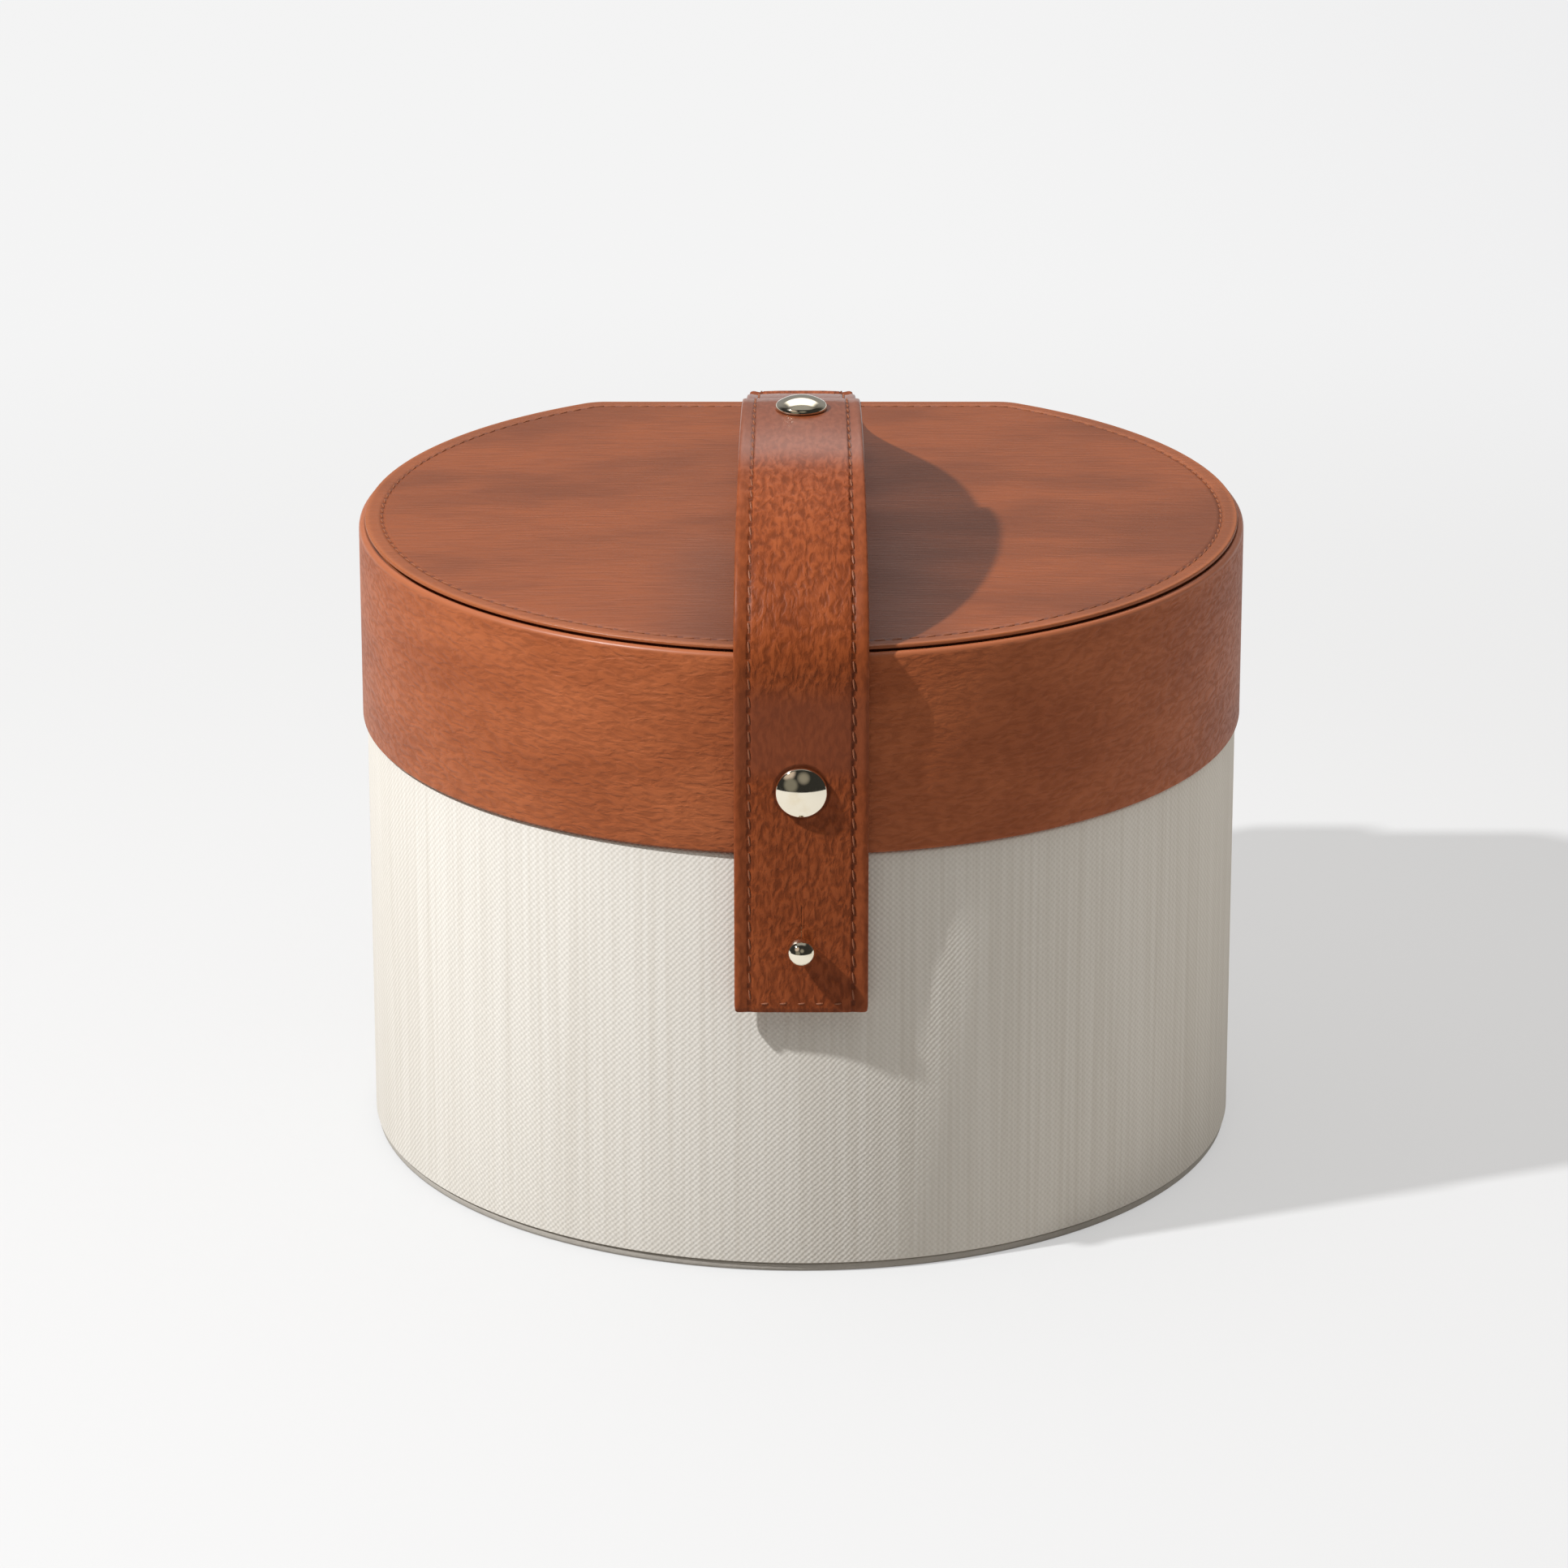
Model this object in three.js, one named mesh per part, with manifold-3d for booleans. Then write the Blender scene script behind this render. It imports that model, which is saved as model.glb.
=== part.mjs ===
// A round vanity case with a flat back: a linen-covered drum, a hinged leather lid, and a leather
// strap that is the carrying handle over the lid and, below its front rivet, the closing tab.
// Millimetres, +Z up. The origin is the centre of the round plan, on the underside.
// The front, with the tab, faces -Y and the flat hinge side faces +Y.

import * as THREE from 'three';
import { mergeVertices } from 'three/addons/utils/BufferGeometryUtils.js';
import Module from 'manifold-3d';

const wasm = await Module();
wasm.setup();

// Plan: a circle cut off by the flat back, with a rounded corner at each end of the flat
const CASE_RADIUS = 110;
const FLAT_BACK_Y = 95.5;
const BACK_CORNER_RADIUS = 12;

// Heights of the closed case
const RIM_Z = 108;
const LID_TOP_Z = 158.2;
const COLLAR_RISE = 10;

// Play left between pieces that lie against each other
const GAP = 0.3;

// Sheet and board thicknesses
const BASE_PANEL_THICKNESS = 2;
const FLOOR_THICKNESS = 3;
const FLOOR_PAD_THICKNESS = 4;
const FLOOR_PAD_EDGE_RADIUS = 1;
const LINEN_THICKNESS = 0.9;
const LINEN_TURN_THICKNESS = 0.7;
const BASE_WALL_THICKNESS = 3.4;
const COLLAR_THICKNESS = 1.8;
const COLLAR_SHOULDER_DROP = 0.8;
const LINING_THICKNESS = 0.6;
const LINING_TURN_THICKNESS = 0.5;
const LINING_TURN_PLAY = 0.2;
const LEATHER_THICKNESS = 1.3;
const LEATHER_TURN_THICKNESS = 0.9;
const LID_WALL_THICKNESS = 2.6;
const LID_BOARD_THICKNESS = 3;
const TOP_PANEL_THICKNESS = 1.9;
const MIRROR_THICKNESS = 1.9;
const MIRROR_FRAME_THICKNESS = 2.7;

// How far the linen stands back under the lid's edge, and the base panel behind the linen
const LID_OVERHANG = 1.1;
const BASE_PANEL_RECESS = 0.9;

// Leather top: the band's rolled edge, the groove, and the panel's soft edge
const BAND_LIP_WIDTH = 2.2;
const BAND_LIP_HEIGHT = 0.7;
const BAND_ROLL_RADIUS = 1.2;
const PANEL_EDGE_RADIUS = 0.7;

// Mirror in the lid
const MIRROR_RADIUS = 72;
const MIRROR_CENTRE_Y = -4;

// Strap
const STRAP_THICKNESS = 2.6;
const STRAP_FRONT_WIDTH = 31.8;
const STRAP_LAP_WIDTH = 27.8;
const STRAP_BACK_WIDTH = 27;
const STRAP_BACK_END_Z = 113;
const STRAP_EDGE_BEND_RADIUS = 3.9;

// Strap arch, seen from the side: it leaves the lid's front wall, is level at the crown and lands
// on the lid near the back. Each pull is how far the curve runs on in its end's direction.
const LIFT_OFF_Z = 154;
const LIFT_OFF_PULL = 22;
const CROWN_Y = -35;
const CROWN_Z = 194.2;
const CROWN_FRONT_PULL = 37;
const CROWN_BACK_PULL = 60;
const LANDING_Y = 80;
const LANDING_PULL = 35;
const OVERLAP_LENGTH = 17;
const OVERLAP_DROOP = 0.9;
const UNDERLAP_LENGTH = 13.7;
const UNDERLAP_DROOP = 0.85;

// Tab
const TAB_END_Z = 69;
const TAB_CORNER_RADIUS = 1.2;
const TAB_BEND_Z = 117.1;
const KEYHOLE_RADIUS = 2.5;
const KEYHOLE_SLIT_WIDTH = 0.8;
const KEYHOLE_SLIT_LENGTH = 8;

// Metal fittings
const RIVET_Z = 125;
const RIVET_CAP_RADIUS = 6.25;
const RIVET_RIM_HEIGHT = 0.5;
const RIVET_DOME_RISE = 2.5;
const RIVET_TUBE_RADIUS = 2.2;
const RIVET_POST_RADIUS = 1.5;
const RIVET_FOOT_RADIUS = 4.5;
const RIVET_FOOT_THICKNESS = 0.9;
const STUD_Z = 86;
const STUD_BALL_RADIUS = 3.5;
const STUD_NECK_RADIUS = 1.9;
const STUD_FLANGE_RADIUS = 4;
const STUD_FLANGE_THICKNESS = 0.8;
const STUD_BALL_REACH = 7.2;
const STUD_SCREW_RADIUS = 1.2;
const STUD_SCREW_DEPTH = 2.3;
const STUD_SCREW_HEAD_RADIUS = 3.5;
const STUD_SCREW_HEAD_THICKNESS = 1.2;

// Hinges
const HINGE_X = 33;
const HINGE_WIDTH = 24;
const HINGE_AXIS_OUT = 2.8;
const HINGE_LEAF_HEIGHT = 13.5;
const HINGE_LEAF_THICKNESS = 1.2;
const HINGE_CORNER_RADIUS = 2;
const KNUCKLE_RADIUS = 2.4;
const HINGE_PIN_RADIUS = 1;
const MIDDLE_KNUCKLE_WIDTH = 7.8;
const CRANK_HEIGHT = 4;
const SCREW_X = 7.5;
const SCREW_DROP = 9;
const SCREW_RADIUS = 1;
const SCREW_HEAD_RADIUS = 2.1;
const SCREW_HEAD_TOP_RADIUS = 1.5;
const SCREW_HEAD_HEIGHT = 0.9;
const SCREW_BITE = 3.9;

// How far a drill runs past the faces that it opens
const DRILL_RUN = 2;

// Facets
const ARC_STEPS = 48;
const CORNER_STEPS = 4;
const ROLL_STEPS = 2;
const ROUND_SIDES = 16;
const SCREW_SIDES = 12;
const MIRROR_SIDES = 48;
const CAP_SIDES = 20;
const DOME_STEPS = 5;
const BALL_STEPS = 8;
const STRAP_STEPS = 12;

// Places worked out from the sizes above, as insets from the lid's outer face
const LINEN_INSET = LID_OVERHANG;
const BASE_WALL_INSET = LINEN_INSET + LINEN_THICKNESS + GAP;
const BASE_WALL_INNER = BASE_WALL_INSET + BASE_WALL_THICKNESS;
const COLLAR_FOOT_INSET = BASE_WALL_INNER + GAP;
const LINING_TURN_INSET = COLLAR_FOOT_INSET + LINING_TURN_PLAY;
const LINING_TURN_INNER = LINING_TURN_INSET + LINING_TURN_THICKNESS;
const COLLAR_INSET = LINING_TURN_INNER + GAP;
const COLLAR_INNER = COLLAR_INSET + COLLAR_THICKNESS;
const BASE_LINING_INNER = COLLAR_INNER + GAP + LINING_THICKNESS;
const LID_WALL_INSET = LEATHER_THICKNESS + GAP;
const LID_WALL_INNER = LID_WALL_INSET + LID_WALL_THICKNESS;
const LID_LINING_INNER = LID_WALL_INNER + GAP + LINING_THICKNESS;

const WALL_FOOT_Z = BASE_PANEL_THICKNESS + GAP;
const FLOOR_TOP_Z = WALL_FOOT_Z + FLOOR_THICKNESS;
const BASE_RIM_Z = RIM_Z - GAP;
const LINEN_TURN_Z = BASE_RIM_Z - LINEN_TURN_THICKNESS;
const COLLAR_FOOT_Z = FLOOR_TOP_Z + GAP;
const COLLAR_SHOULDER_Z = RIM_Z - COLLAR_SHOULDER_DROP;
const LINING_TOP_Z = RIM_Z + COLLAR_RISE;
const COLLAR_TOP_Z = LINING_TOP_Z - LINING_THICKNESS - GAP;
const FLOOR_PAD_TOP_Z = COLLAR_FOOT_Z + FLOOR_PAD_THICKNESS;
const BAND_TURN_Z = RIM_Z + LEATHER_TURN_THICKNESS;
const PANEL_UNDERSIDE_Z = LID_TOP_Z - TOP_PANEL_THICKNESS;
const LID_BOARD_TOP_Z = PANEL_UNDERSIDE_Z - GAP;
const LID_CEILING_Z = LID_BOARD_TOP_Z - LID_BOARD_THICKNESS - GAP;
const STRAP_FRONT_Y = -(CASE_RADIUS + GAP + STRAP_THICKNESS / 2);
const STRAP_BACK_Y = FLAT_BACK_Y + GAP + STRAP_THICKNESS / 2;
const STRAP_ON_LID_Z = LID_TOP_Z + GAP + STRAP_THICKNESS / 2;
const LAP_END_Y = CROWN_Y + OVERLAP_LENGTH;
const HINGE_AXIS_Y = FLAT_BACK_Y + HINGE_AXIS_OUT;
const HINGE_AXIS_Z = RIM_Z - GAP / 2;

// Finishes: colour, roughness, metalness
const FINISHES = {
  leather: [0x94491f, 0.42, 0],
  linen: [0xd9d4c9, 0.9, 0],
  board: [0xa98d6b, 0.85, 0],
  lining: [0xcdbfa9, 0.95, 0],
  underside: [0x4a4640, 0.7, 0],
  gold: [0xd8c08a, 0.2, 1],
  mirror: [0xe6ebee, 0.03, 1],
};

function finish(name) {
  const [color, roughness, metalness] = FINISHES[name];
  return new THREE.MeshStandardMaterial({ color, roughness, metalness });
}

function place(group, name, geometry, finishName) {
  const mesh = new THREE.Mesh(geometry, finish(finishName));
  mesh.name = name;
  group.add(mesh);
  return mesh;
}

// Booleans: a closed geometry becomes a solid, and a solid a geometry again
function solidOf(geometry) {
  const bare = geometry.clone();
  bare.deleteAttribute('normal');
  bare.deleteAttribute('uv');
  const welded = mergeVertices(bare);
  const vertProperties = Float32Array.from(welded.attributes.position.array);
  const triVerts = Uint32Array.from(welded.index.array);
  return new wasm.Manifold(new wasm.Mesh({ numProp: 3, vertProperties, triVerts }));
}

function geometryOf(solid) {
  const mesh = solid.getMesh();
  const geometry = new THREE.BufferGeometry();
  geometry.setAttribute('position', new THREE.Float32BufferAttribute(mesh.vertProperties, 3));
  geometry.setIndex(new THREE.Uint32BufferAttribute(mesh.triVerts, 1));
  geometry.computeVertexNormals();
  return geometry;
}

function cut(geometry, ...tools) {
  const rest = tools.reduce((solid, tool) => solid.subtract(solidOf(tool)), solidOf(geometry));
  return geometryOf(rest);
}

function join(geometry, ...others) {
  const whole = others.reduce((solid, other) => solid.add(solidOf(other)), solidOf(geometry));
  return geometryOf(whole);
}

// Plan outline pulled in all round by an inset, counter-clockwise from above
function planOutline(inset) {
  const centreY = FLAT_BACK_Y - BACK_CORNER_RADIUS;
  const centreX = Math.sqrt((CASE_RADIUS - BACK_CORNER_RADIUS) ** 2 - centreY ** 2);
  const meet = Math.atan2(centreY, centreX);
  const corner = BACK_CORNER_RADIUS - inset;
  const arc = (x, y, radius, from, to, steps) =>
    new THREE.EllipseCurve(x, y, radius, radius, from, to).getPoints(steps);
  const round = arc(0, 0, CASE_RADIUS - inset, Math.PI - meet, 2 * Math.PI + meet, ARC_STEPS);
  const right = arc(centreX, centreY, corner, meet, Math.PI / 2, CORNER_STEPS);
  const left = arc(-centreX, centreY, corner, Math.PI / 2, Math.PI - meet, CORNER_STEPS);
  return [...round, ...right.slice(1), ...left.slice(0, -1)];
}

// A wall round the whole case: a section of [inset, z] corners, listed outer foot, outer top,
// inner top, inner foot, and carried round the plan outline
function wallAround(section) {
  const loops = section.map(([inset, z]) => planOutline(inset).map((p) => [p.x, p.y, z]));
  const count = loops[0].length;
  const index = [];
  for (let i = 0; i < loops.length; i += 1) {
    const next = (i + 1) % loops.length;
    for (let j = 0; j < count; j += 1) {
      const after = (j + 1) % count;
      const [a, b] = [i * count + j, i * count + after];
      const [c, d] = [next * count + after, next * count + j];
      index.push(a, b, c, a, c, d);
    }
  }
  const geometry = new THREE.BufferGeometry();
  geometry.setAttribute('position', new THREE.Float32BufferAttribute(loops.flat(2), 3));
  geometry.setIndex(index);
  geometry.computeVertexNormals();
  return geometry;
}

// A board cut to the plan outline, with its top and bottom edges rounded where asked
function board(inset, bottomZ, topZ, edgeRadius = 0, holes = []) {
  const shape = new THREE.Shape(planOutline(inset + edgeRadius));
  shape.holes.push(...holes);
  const geometry = new THREE.ExtrudeGeometry(shape, {
    depth: topZ - bottomZ - 2 * edgeRadius,
    bevelEnabled: edgeRadius > 0,
    bevelThickness: edgeRadius,
    bevelSize: edgeRadius,
    bevelSegments: ROLL_STEPS,
  });
  return geometry.translate(0, 0, bottomZ + edgeRadius);
}

// A turned piece: [radius, height] corners that start and end on the axis
function turned(profile, sides) {
  return new THREE.LatheGeometry(profile.map(([r, h]) => new THREE.Vector2(r, h)), sides);
}

// Corners along a circular arc in a turned profile
function profileArc(centreHeight, radius, fromAngle, toAngle, steps) {
  const points = [];
  for (let i = 0; i <= steps; i += 1) {
    const angle = fromAngle + ((toAngle - fromAngle) * i) / steps;
    points.push([radius * Math.cos(angle), centreHeight + radius * Math.sin(angle)]);
  }
  return points;
}

// Round drills along X, Y and Z
function drillX(radius, fromX, toX, y, z) {
  const geometry = new THREE.CylinderGeometry(radius, radius, toX - fromX, ROUND_SIDES);
  return geometry.rotateZ(Math.PI / 2).translate((fromX + toX) / 2, y, z);
}

function drillY(radius, fromY, toY, x, z) {
  const geometry = new THREE.CylinderGeometry(radius, radius, toY - fromY, ROUND_SIDES);
  return geometry.translate(x, (fromY + toY) / 2, z);
}

function drillZ(radius, fromZ, toZ, x, y) {
  const geometry = new THREE.CylinderGeometry(radius, radius, toZ - fromZ, ROUND_SIDES);
  return geometry.rotateX(Math.PI / 2).translate(x, y, (fromZ + toZ) / 2);
}

// A strap length: the centre line of its side view, in y and z, is given its thickness, and that
// side view its width along X, which may change with y
function strapAlong(curves, widthAtY) {
  const path = new THREE.CurvePath();
  curves.forEach((curve) => path.add(curve));
  const upper = [];
  const lower = [];
  path.curves.forEach((curve, number) => {
    const steps = curve.isLineCurve ? 1 : STRAP_STEPS;
    for (let i = number === 0 ? 0 : 1; i <= steps; i += 1) {
      const point = curve.getPoint(i / steps);
      const along = curve.getTangent(i / steps);
      const across = new THREE.Vector2(-along.y, along.x).multiplyScalar(STRAP_THICKNESS / 2);
      upper.push(point.clone().add(across));
      lower.push(point.clone().sub(across));
    }
  });
  const sideView = new THREE.Shape([...upper, ...lower.reverse()]);
  const geometry = new THREE.ExtrudeGeometry(sideView, { depth: 1, bevelEnabled: false });
  const toSide = new THREE.Matrix4().makeBasis(
    new THREE.Vector3(0, 1, 0),
    new THREE.Vector3(0, 0, 1),
    new THREE.Vector3(1, 0, 0),
  );
  geometry.translate(0, 0, -0.5).applyMatrix4(toSide);
  const position = geometry.attributes.position;
  for (let i = 0; i < position.count; i += 1) {
    position.setX(i, position.getX(i) * widthAtY(position.getY(i)));
  }
  return geometry;
}

const point = (y, z) => new THREE.Vector2(y, z);

// Holes for the front and back rivets, through the strap and the lid wall behind it
const rivetHole = RIVET_TUBE_RADIUS + GAP;
const strapAndWall = STRAP_THICKNESS + LID_LINING_INNER + 2 * DRILL_RUN;
const frontDrillY = STRAP_FRONT_Y - STRAP_THICKNESS / 2 - DRILL_RUN;
const backDrillY = STRAP_BACK_Y + STRAP_THICKNESS / 2 + DRILL_RUN;
const frontRivetHole = drillY(rivetHole, frontDrillY, frontDrillY + strapAndWall, 0, RIVET_Z);
const backRivetHole = drillY(rivetHole, backDrillY - strapAndWall, backDrillY, 0, RIVET_Z);

// Hole through the base wall for the stud's screw, with a pocket for the screw's head
const baseWallInnerY = -CASE_RADIUS + BASE_WALL_INNER;
const studPocketDepth = STUD_SCREW_HEAD_THICKNESS + GAP;
const studHole = drillY(
  STUD_SCREW_RADIUS + GAP,
  -CASE_RADIUS - DRILL_RUN,
  baseWallInnerY + DRILL_RUN,
  0,
  STUD_Z,
);
const studHeadPocket = drillY(
  STUD_SCREW_HEAD_RADIUS + GAP,
  baseWallInnerY - studPocketDepth,
  baseWallInnerY + DRILL_RUN,
  0,
  STUD_Z,
);

// Pilot holes for the hinge screws, on the base (-1) or on the lid (+1)
function screwPlaces(side) {
  const z = HINGE_AXIS_Z + side * SCREW_DROP;
  return [-1, 1].flatMap((hinge) =>
    [-1, 1].map((end) => ({ hinge, end, x: hinge * HINGE_X + end * SCREW_X, z })));
}

function pilotHoles(side, faceY) {
  return screwPlaces(side).map(({ x, z }) =>
    drillY(SCREW_RADIUS + GAP, faceY - SCREW_BITE - GAP, faceY + DRILL_RUN, x, z));
}

const linenBackY = FLAT_BACK_Y - LINEN_INSET;

const base = new THREE.Group();
const lid = new THREE.Group();
const tab = new THREE.Group();

// Base: panel, floor, drum, cover, collar, lining and pad
place(base, 'base_panel', board(LINEN_INSET + BASE_PANEL_RECESS, 0, BASE_PANEL_THICKNESS), 'underside');
place(base, 'floor_board', board(COLLAR_FOOT_INSET, WALL_FOOT_Z, FLOOR_TOP_Z), 'board');

const baseWall = wallAround([
  [BASE_WALL_INSET, WALL_FOOT_Z],
  [BASE_WALL_INSET, LINEN_TURN_Z - GAP],
  [BASE_WALL_INNER, LINEN_TURN_Z - GAP],
  [BASE_WALL_INNER, WALL_FOOT_Z],
]);
place(base, 'base_wall', cut(baseWall, studHole, studHeadPocket, ...pilotHoles(-1, linenBackY)), 'board');

const linen = wallAround([
  [LINEN_INSET, WALL_FOOT_Z],
  [LINEN_INSET, BASE_RIM_Z],
  [BASE_WALL_INNER, BASE_RIM_Z],
  [BASE_WALL_INNER, LINEN_TURN_Z],
  [LINEN_INSET + LINEN_THICKNESS, LINEN_TURN_Z],
  [LINEN_INSET + LINEN_THICKNESS, WALL_FOOT_Z],
]);
place(base, 'linen_cover', cut(linen, studHole, ...pilotHoles(-1, linenBackY)), 'linen');

place(base, 'neck_collar', wallAround([
  [COLLAR_FOOT_INSET, COLLAR_FOOT_Z],
  [COLLAR_FOOT_INSET, COLLAR_SHOULDER_Z],
  [COLLAR_INSET, COLLAR_SHOULDER_Z],
  [COLLAR_INSET, COLLAR_TOP_Z],
  [COLLAR_INNER, COLLAR_TOP_Z],
  [COLLAR_INNER, COLLAR_FOOT_Z],
]), 'board');

place(base, 'base_lining', wallAround([
  [LINING_TURN_INSET, COLLAR_SHOULDER_Z + GAP],
  [LINING_TURN_INSET, LINING_TOP_Z],
  [BASE_LINING_INNER, LINING_TOP_Z],
  [BASE_LINING_INNER, COLLAR_FOOT_Z],
  [COLLAR_INNER + GAP, COLLAR_FOOT_Z],
  [COLLAR_INNER + GAP, COLLAR_TOP_Z + GAP],
  [LINING_TURN_INNER, COLLAR_TOP_Z + GAP],
  [LINING_TURN_INNER, COLLAR_SHOULDER_Z + GAP],
]), 'lining');
place(
  base,
  'floor_pad',
  board(BASE_LINING_INNER + GAP, COLLAR_FOOT_Z, FLOOR_PAD_TOP_Z, FLOOR_PAD_EDGE_RADIUS),
  'lining',
);

// Ball stud: a flange on the linen, a neck through the tab, a ball, and a blind bore for its screw
const studFootY = -(CASE_RADIUS - LINEN_INSET + GAP);
const neckAngle = -Math.acos(STUD_NECK_RADIUS / STUD_BALL_RADIUS);
const stud = place(base, 'ball_stud', turned([
  [0, STUD_SCREW_DEPTH],
  [STUD_SCREW_RADIUS + GAP, STUD_SCREW_DEPTH],
  [STUD_SCREW_RADIUS + GAP, 0],
  [STUD_FLANGE_RADIUS, 0],
  [STUD_FLANGE_RADIUS, STUD_FLANGE_THICKNESS],
  [STUD_NECK_RADIUS, STUD_FLANGE_THICKNESS],
  ...profileArc(STUD_BALL_REACH, STUD_BALL_RADIUS, neckAngle, Math.PI / 2, BALL_STEPS),
], CAP_SIDES), 'gold');
stud.rotation.x = Math.PI;
stud.position.set(0, studFootY, STUD_Z);

const studScrewTip = baseWallInnerY - studFootY + STUD_SCREW_DEPTH - GAP;
const studScrew = place(base, 'stud_screw', turned([
  [0, 0],
  [STUD_SCREW_HEAD_RADIUS, 0],
  [STUD_SCREW_HEAD_RADIUS, STUD_SCREW_HEAD_THICKNESS],
  [STUD_SCREW_RADIUS, STUD_SCREW_HEAD_THICKNESS],
  [STUD_SCREW_RADIUS, studScrewTip],
  [0, studScrewTip],
], ROUND_SIDES), 'gold');
studScrew.rotation.x = Math.PI;
studScrew.position.set(0, baseWallInnerY, STUD_Z);

// Lid: wall, board, band, panel, lining, and the mirror in its padded frame
const lidWall = wallAround([
  [LID_WALL_INSET, BAND_TURN_Z + GAP],
  [LID_WALL_INSET, LID_CEILING_Z],
  [LID_WALL_INNER, LID_CEILING_Z],
  [LID_WALL_INNER, BAND_TURN_Z + GAP],
]);
const lidHoles = [frontRivetHole, backRivetHole, ...pilotHoles(1, FLAT_BACK_Y)];
place(lid, 'lid_wall', cut(lidWall, ...lidHoles), 'board');
place(lid, 'lid_top_board', board(LID_WALL_INSET, LID_CEILING_Z + GAP, LID_BOARD_TOP_Z), 'board');

const lipTopZ = PANEL_UNDERSIDE_Z + BAND_LIP_HEIGHT;
const roll = new THREE.EllipseCurve(
  BAND_ROLL_RADIUS,
  lipTopZ - BAND_ROLL_RADIUS,
  BAND_ROLL_RADIUS,
  BAND_ROLL_RADIUS,
  Math.PI,
  Math.PI / 2,
  true,
).getPoints(ROLL_STEPS);
const band = wallAround([
  [0, RIM_Z],
  ...roll.map((p) => [p.x, p.y]),
  [BAND_LIP_WIDTH, lipTopZ],
  [BAND_LIP_WIDTH, PANEL_UNDERSIDE_Z],
  [LEATHER_THICKNESS, PANEL_UNDERSIDE_Z],
  [LEATHER_THICKNESS, BAND_TURN_Z],
  [LID_WALL_INNER, BAND_TURN_Z],
  [LID_WALL_INNER, RIM_Z],
]);
place(lid, 'leather_band', cut(band, ...lidHoles), 'leather');
const panelInset = BAND_LIP_WIDTH + GAP;
const topPanel = board(panelInset, PANEL_UNDERSIDE_Z, LID_TOP_Z, PANEL_EDGE_RADIUS);
place(lid, 'top_panel', topPanel, 'leather');

const lidLining = wallAround([
  [LID_WALL_INNER + GAP, BAND_TURN_Z + GAP],
  [LID_WALL_INNER + GAP, LID_CEILING_Z],
  [LID_LINING_INNER, LID_CEILING_Z],
  [LID_LINING_INNER, BAND_TURN_Z + GAP],
]);
place(lid, 'lid_lining', cut(lidLining, frontRivetHole, backRivetHole), 'lining');

const mirrorEdge = new THREE.EllipseCurve(
  0,
  MIRROR_CENTRE_Y,
  MIRROR_RADIUS + GAP,
  MIRROR_RADIUS + GAP,
);
const mirrorHole = new THREE.Path(mirrorEdge.getPoints(MIRROR_SIDES).slice(0, -1));
const frameBottomZ = LID_CEILING_Z - MIRROR_FRAME_THICKNESS;
const mirrorFrame = board(LID_LINING_INNER + GAP, frameBottomZ, LID_CEILING_Z, 0, [mirrorHole]);
place(lid, 'mirror_frame', mirrorFrame, 'lining');
const mirror = new THREE.CylinderGeometry(
  MIRROR_RADIUS,
  MIRROR_RADIUS,
  MIRROR_THICKNESS,
  MIRROR_SIDES,
).rotateX(Math.PI / 2);
place(lid, 'lid_mirror', mirror, 'mirror').position.set(
  0,
  MIRROR_CENTRE_Y,
  LID_CEILING_Z - MIRROR_THICKNESS / 2,
);

// Handle strap: the front half rises from the lid's front and laps over the back half at the crown,
// and the back half comes down on the lid, turns over its back edge and is riveted there
const lapDrop = STRAP_THICKNESS + GAP;
const frontFootZ = TAB_BEND_Z + STRAP_THICKNESS / 2 + GAP;
const frontCurves = [
  new THREE.LineCurve(point(STRAP_FRONT_Y, frontFootZ), point(STRAP_FRONT_Y, LIFT_OFF_Z)),
  new THREE.CubicBezierCurve(
    point(STRAP_FRONT_Y, LIFT_OFF_Z),
    point(STRAP_FRONT_Y, LIFT_OFF_Z + LIFT_OFF_PULL),
    point(CROWN_Y - CROWN_FRONT_PULL, CROWN_Z),
    point(CROWN_Y, CROWN_Z),
  ),
  new THREE.QuadraticBezierCurve(
    point(CROWN_Y, CROWN_Z),
    point(CROWN_Y + OVERLAP_LENGTH / 2, CROWN_Z),
    point(LAP_END_Y, CROWN_Z - OVERLAP_DROOP),
  ),
];
const underCrownZ = CROWN_Z - lapDrop;
const edgeBendY = STRAP_BACK_Y - STRAP_EDGE_BEND_RADIUS;
const edgeBendZ = STRAP_ON_LID_Z - STRAP_EDGE_BEND_RADIUS;
const backCurves = [
  new THREE.QuadraticBezierCurve(
    point(CROWN_Y - UNDERLAP_LENGTH, underCrownZ - UNDERLAP_DROOP),
    point(CROWN_Y - UNDERLAP_LENGTH / 2, underCrownZ),
    point(CROWN_Y, underCrownZ),
  ),
  new THREE.CubicBezierCurve(
    point(CROWN_Y, underCrownZ),
    point(CROWN_Y + CROWN_BACK_PULL, underCrownZ),
    point(LANDING_Y - LANDING_PULL, STRAP_ON_LID_Z),
    point(LANDING_Y, STRAP_ON_LID_Z),
  ),
  new THREE.LineCurve(point(LANDING_Y, STRAP_ON_LID_Z), point(edgeBendY, STRAP_ON_LID_Z)),
  new THREE.EllipseCurve(
    edgeBendY,
    edgeBendZ,
    STRAP_EDGE_BEND_RADIUS,
    STRAP_EDGE_BEND_RADIUS,
    Math.PI / 2,
    0,
    true,
  ),
  new THREE.LineCurve(point(STRAP_BACK_Y, edgeBendZ), point(STRAP_BACK_Y, STRAP_BACK_END_Z)),
];
const crownRivetHole = drillZ(
  rivetHole,
  underCrownZ - STRAP_THICKNESS / 2 - DRILL_RUN,
  CROWN_Z + STRAP_THICKNESS / 2 + DRILL_RUN,
  0,
  CROWN_Y,
);
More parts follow.
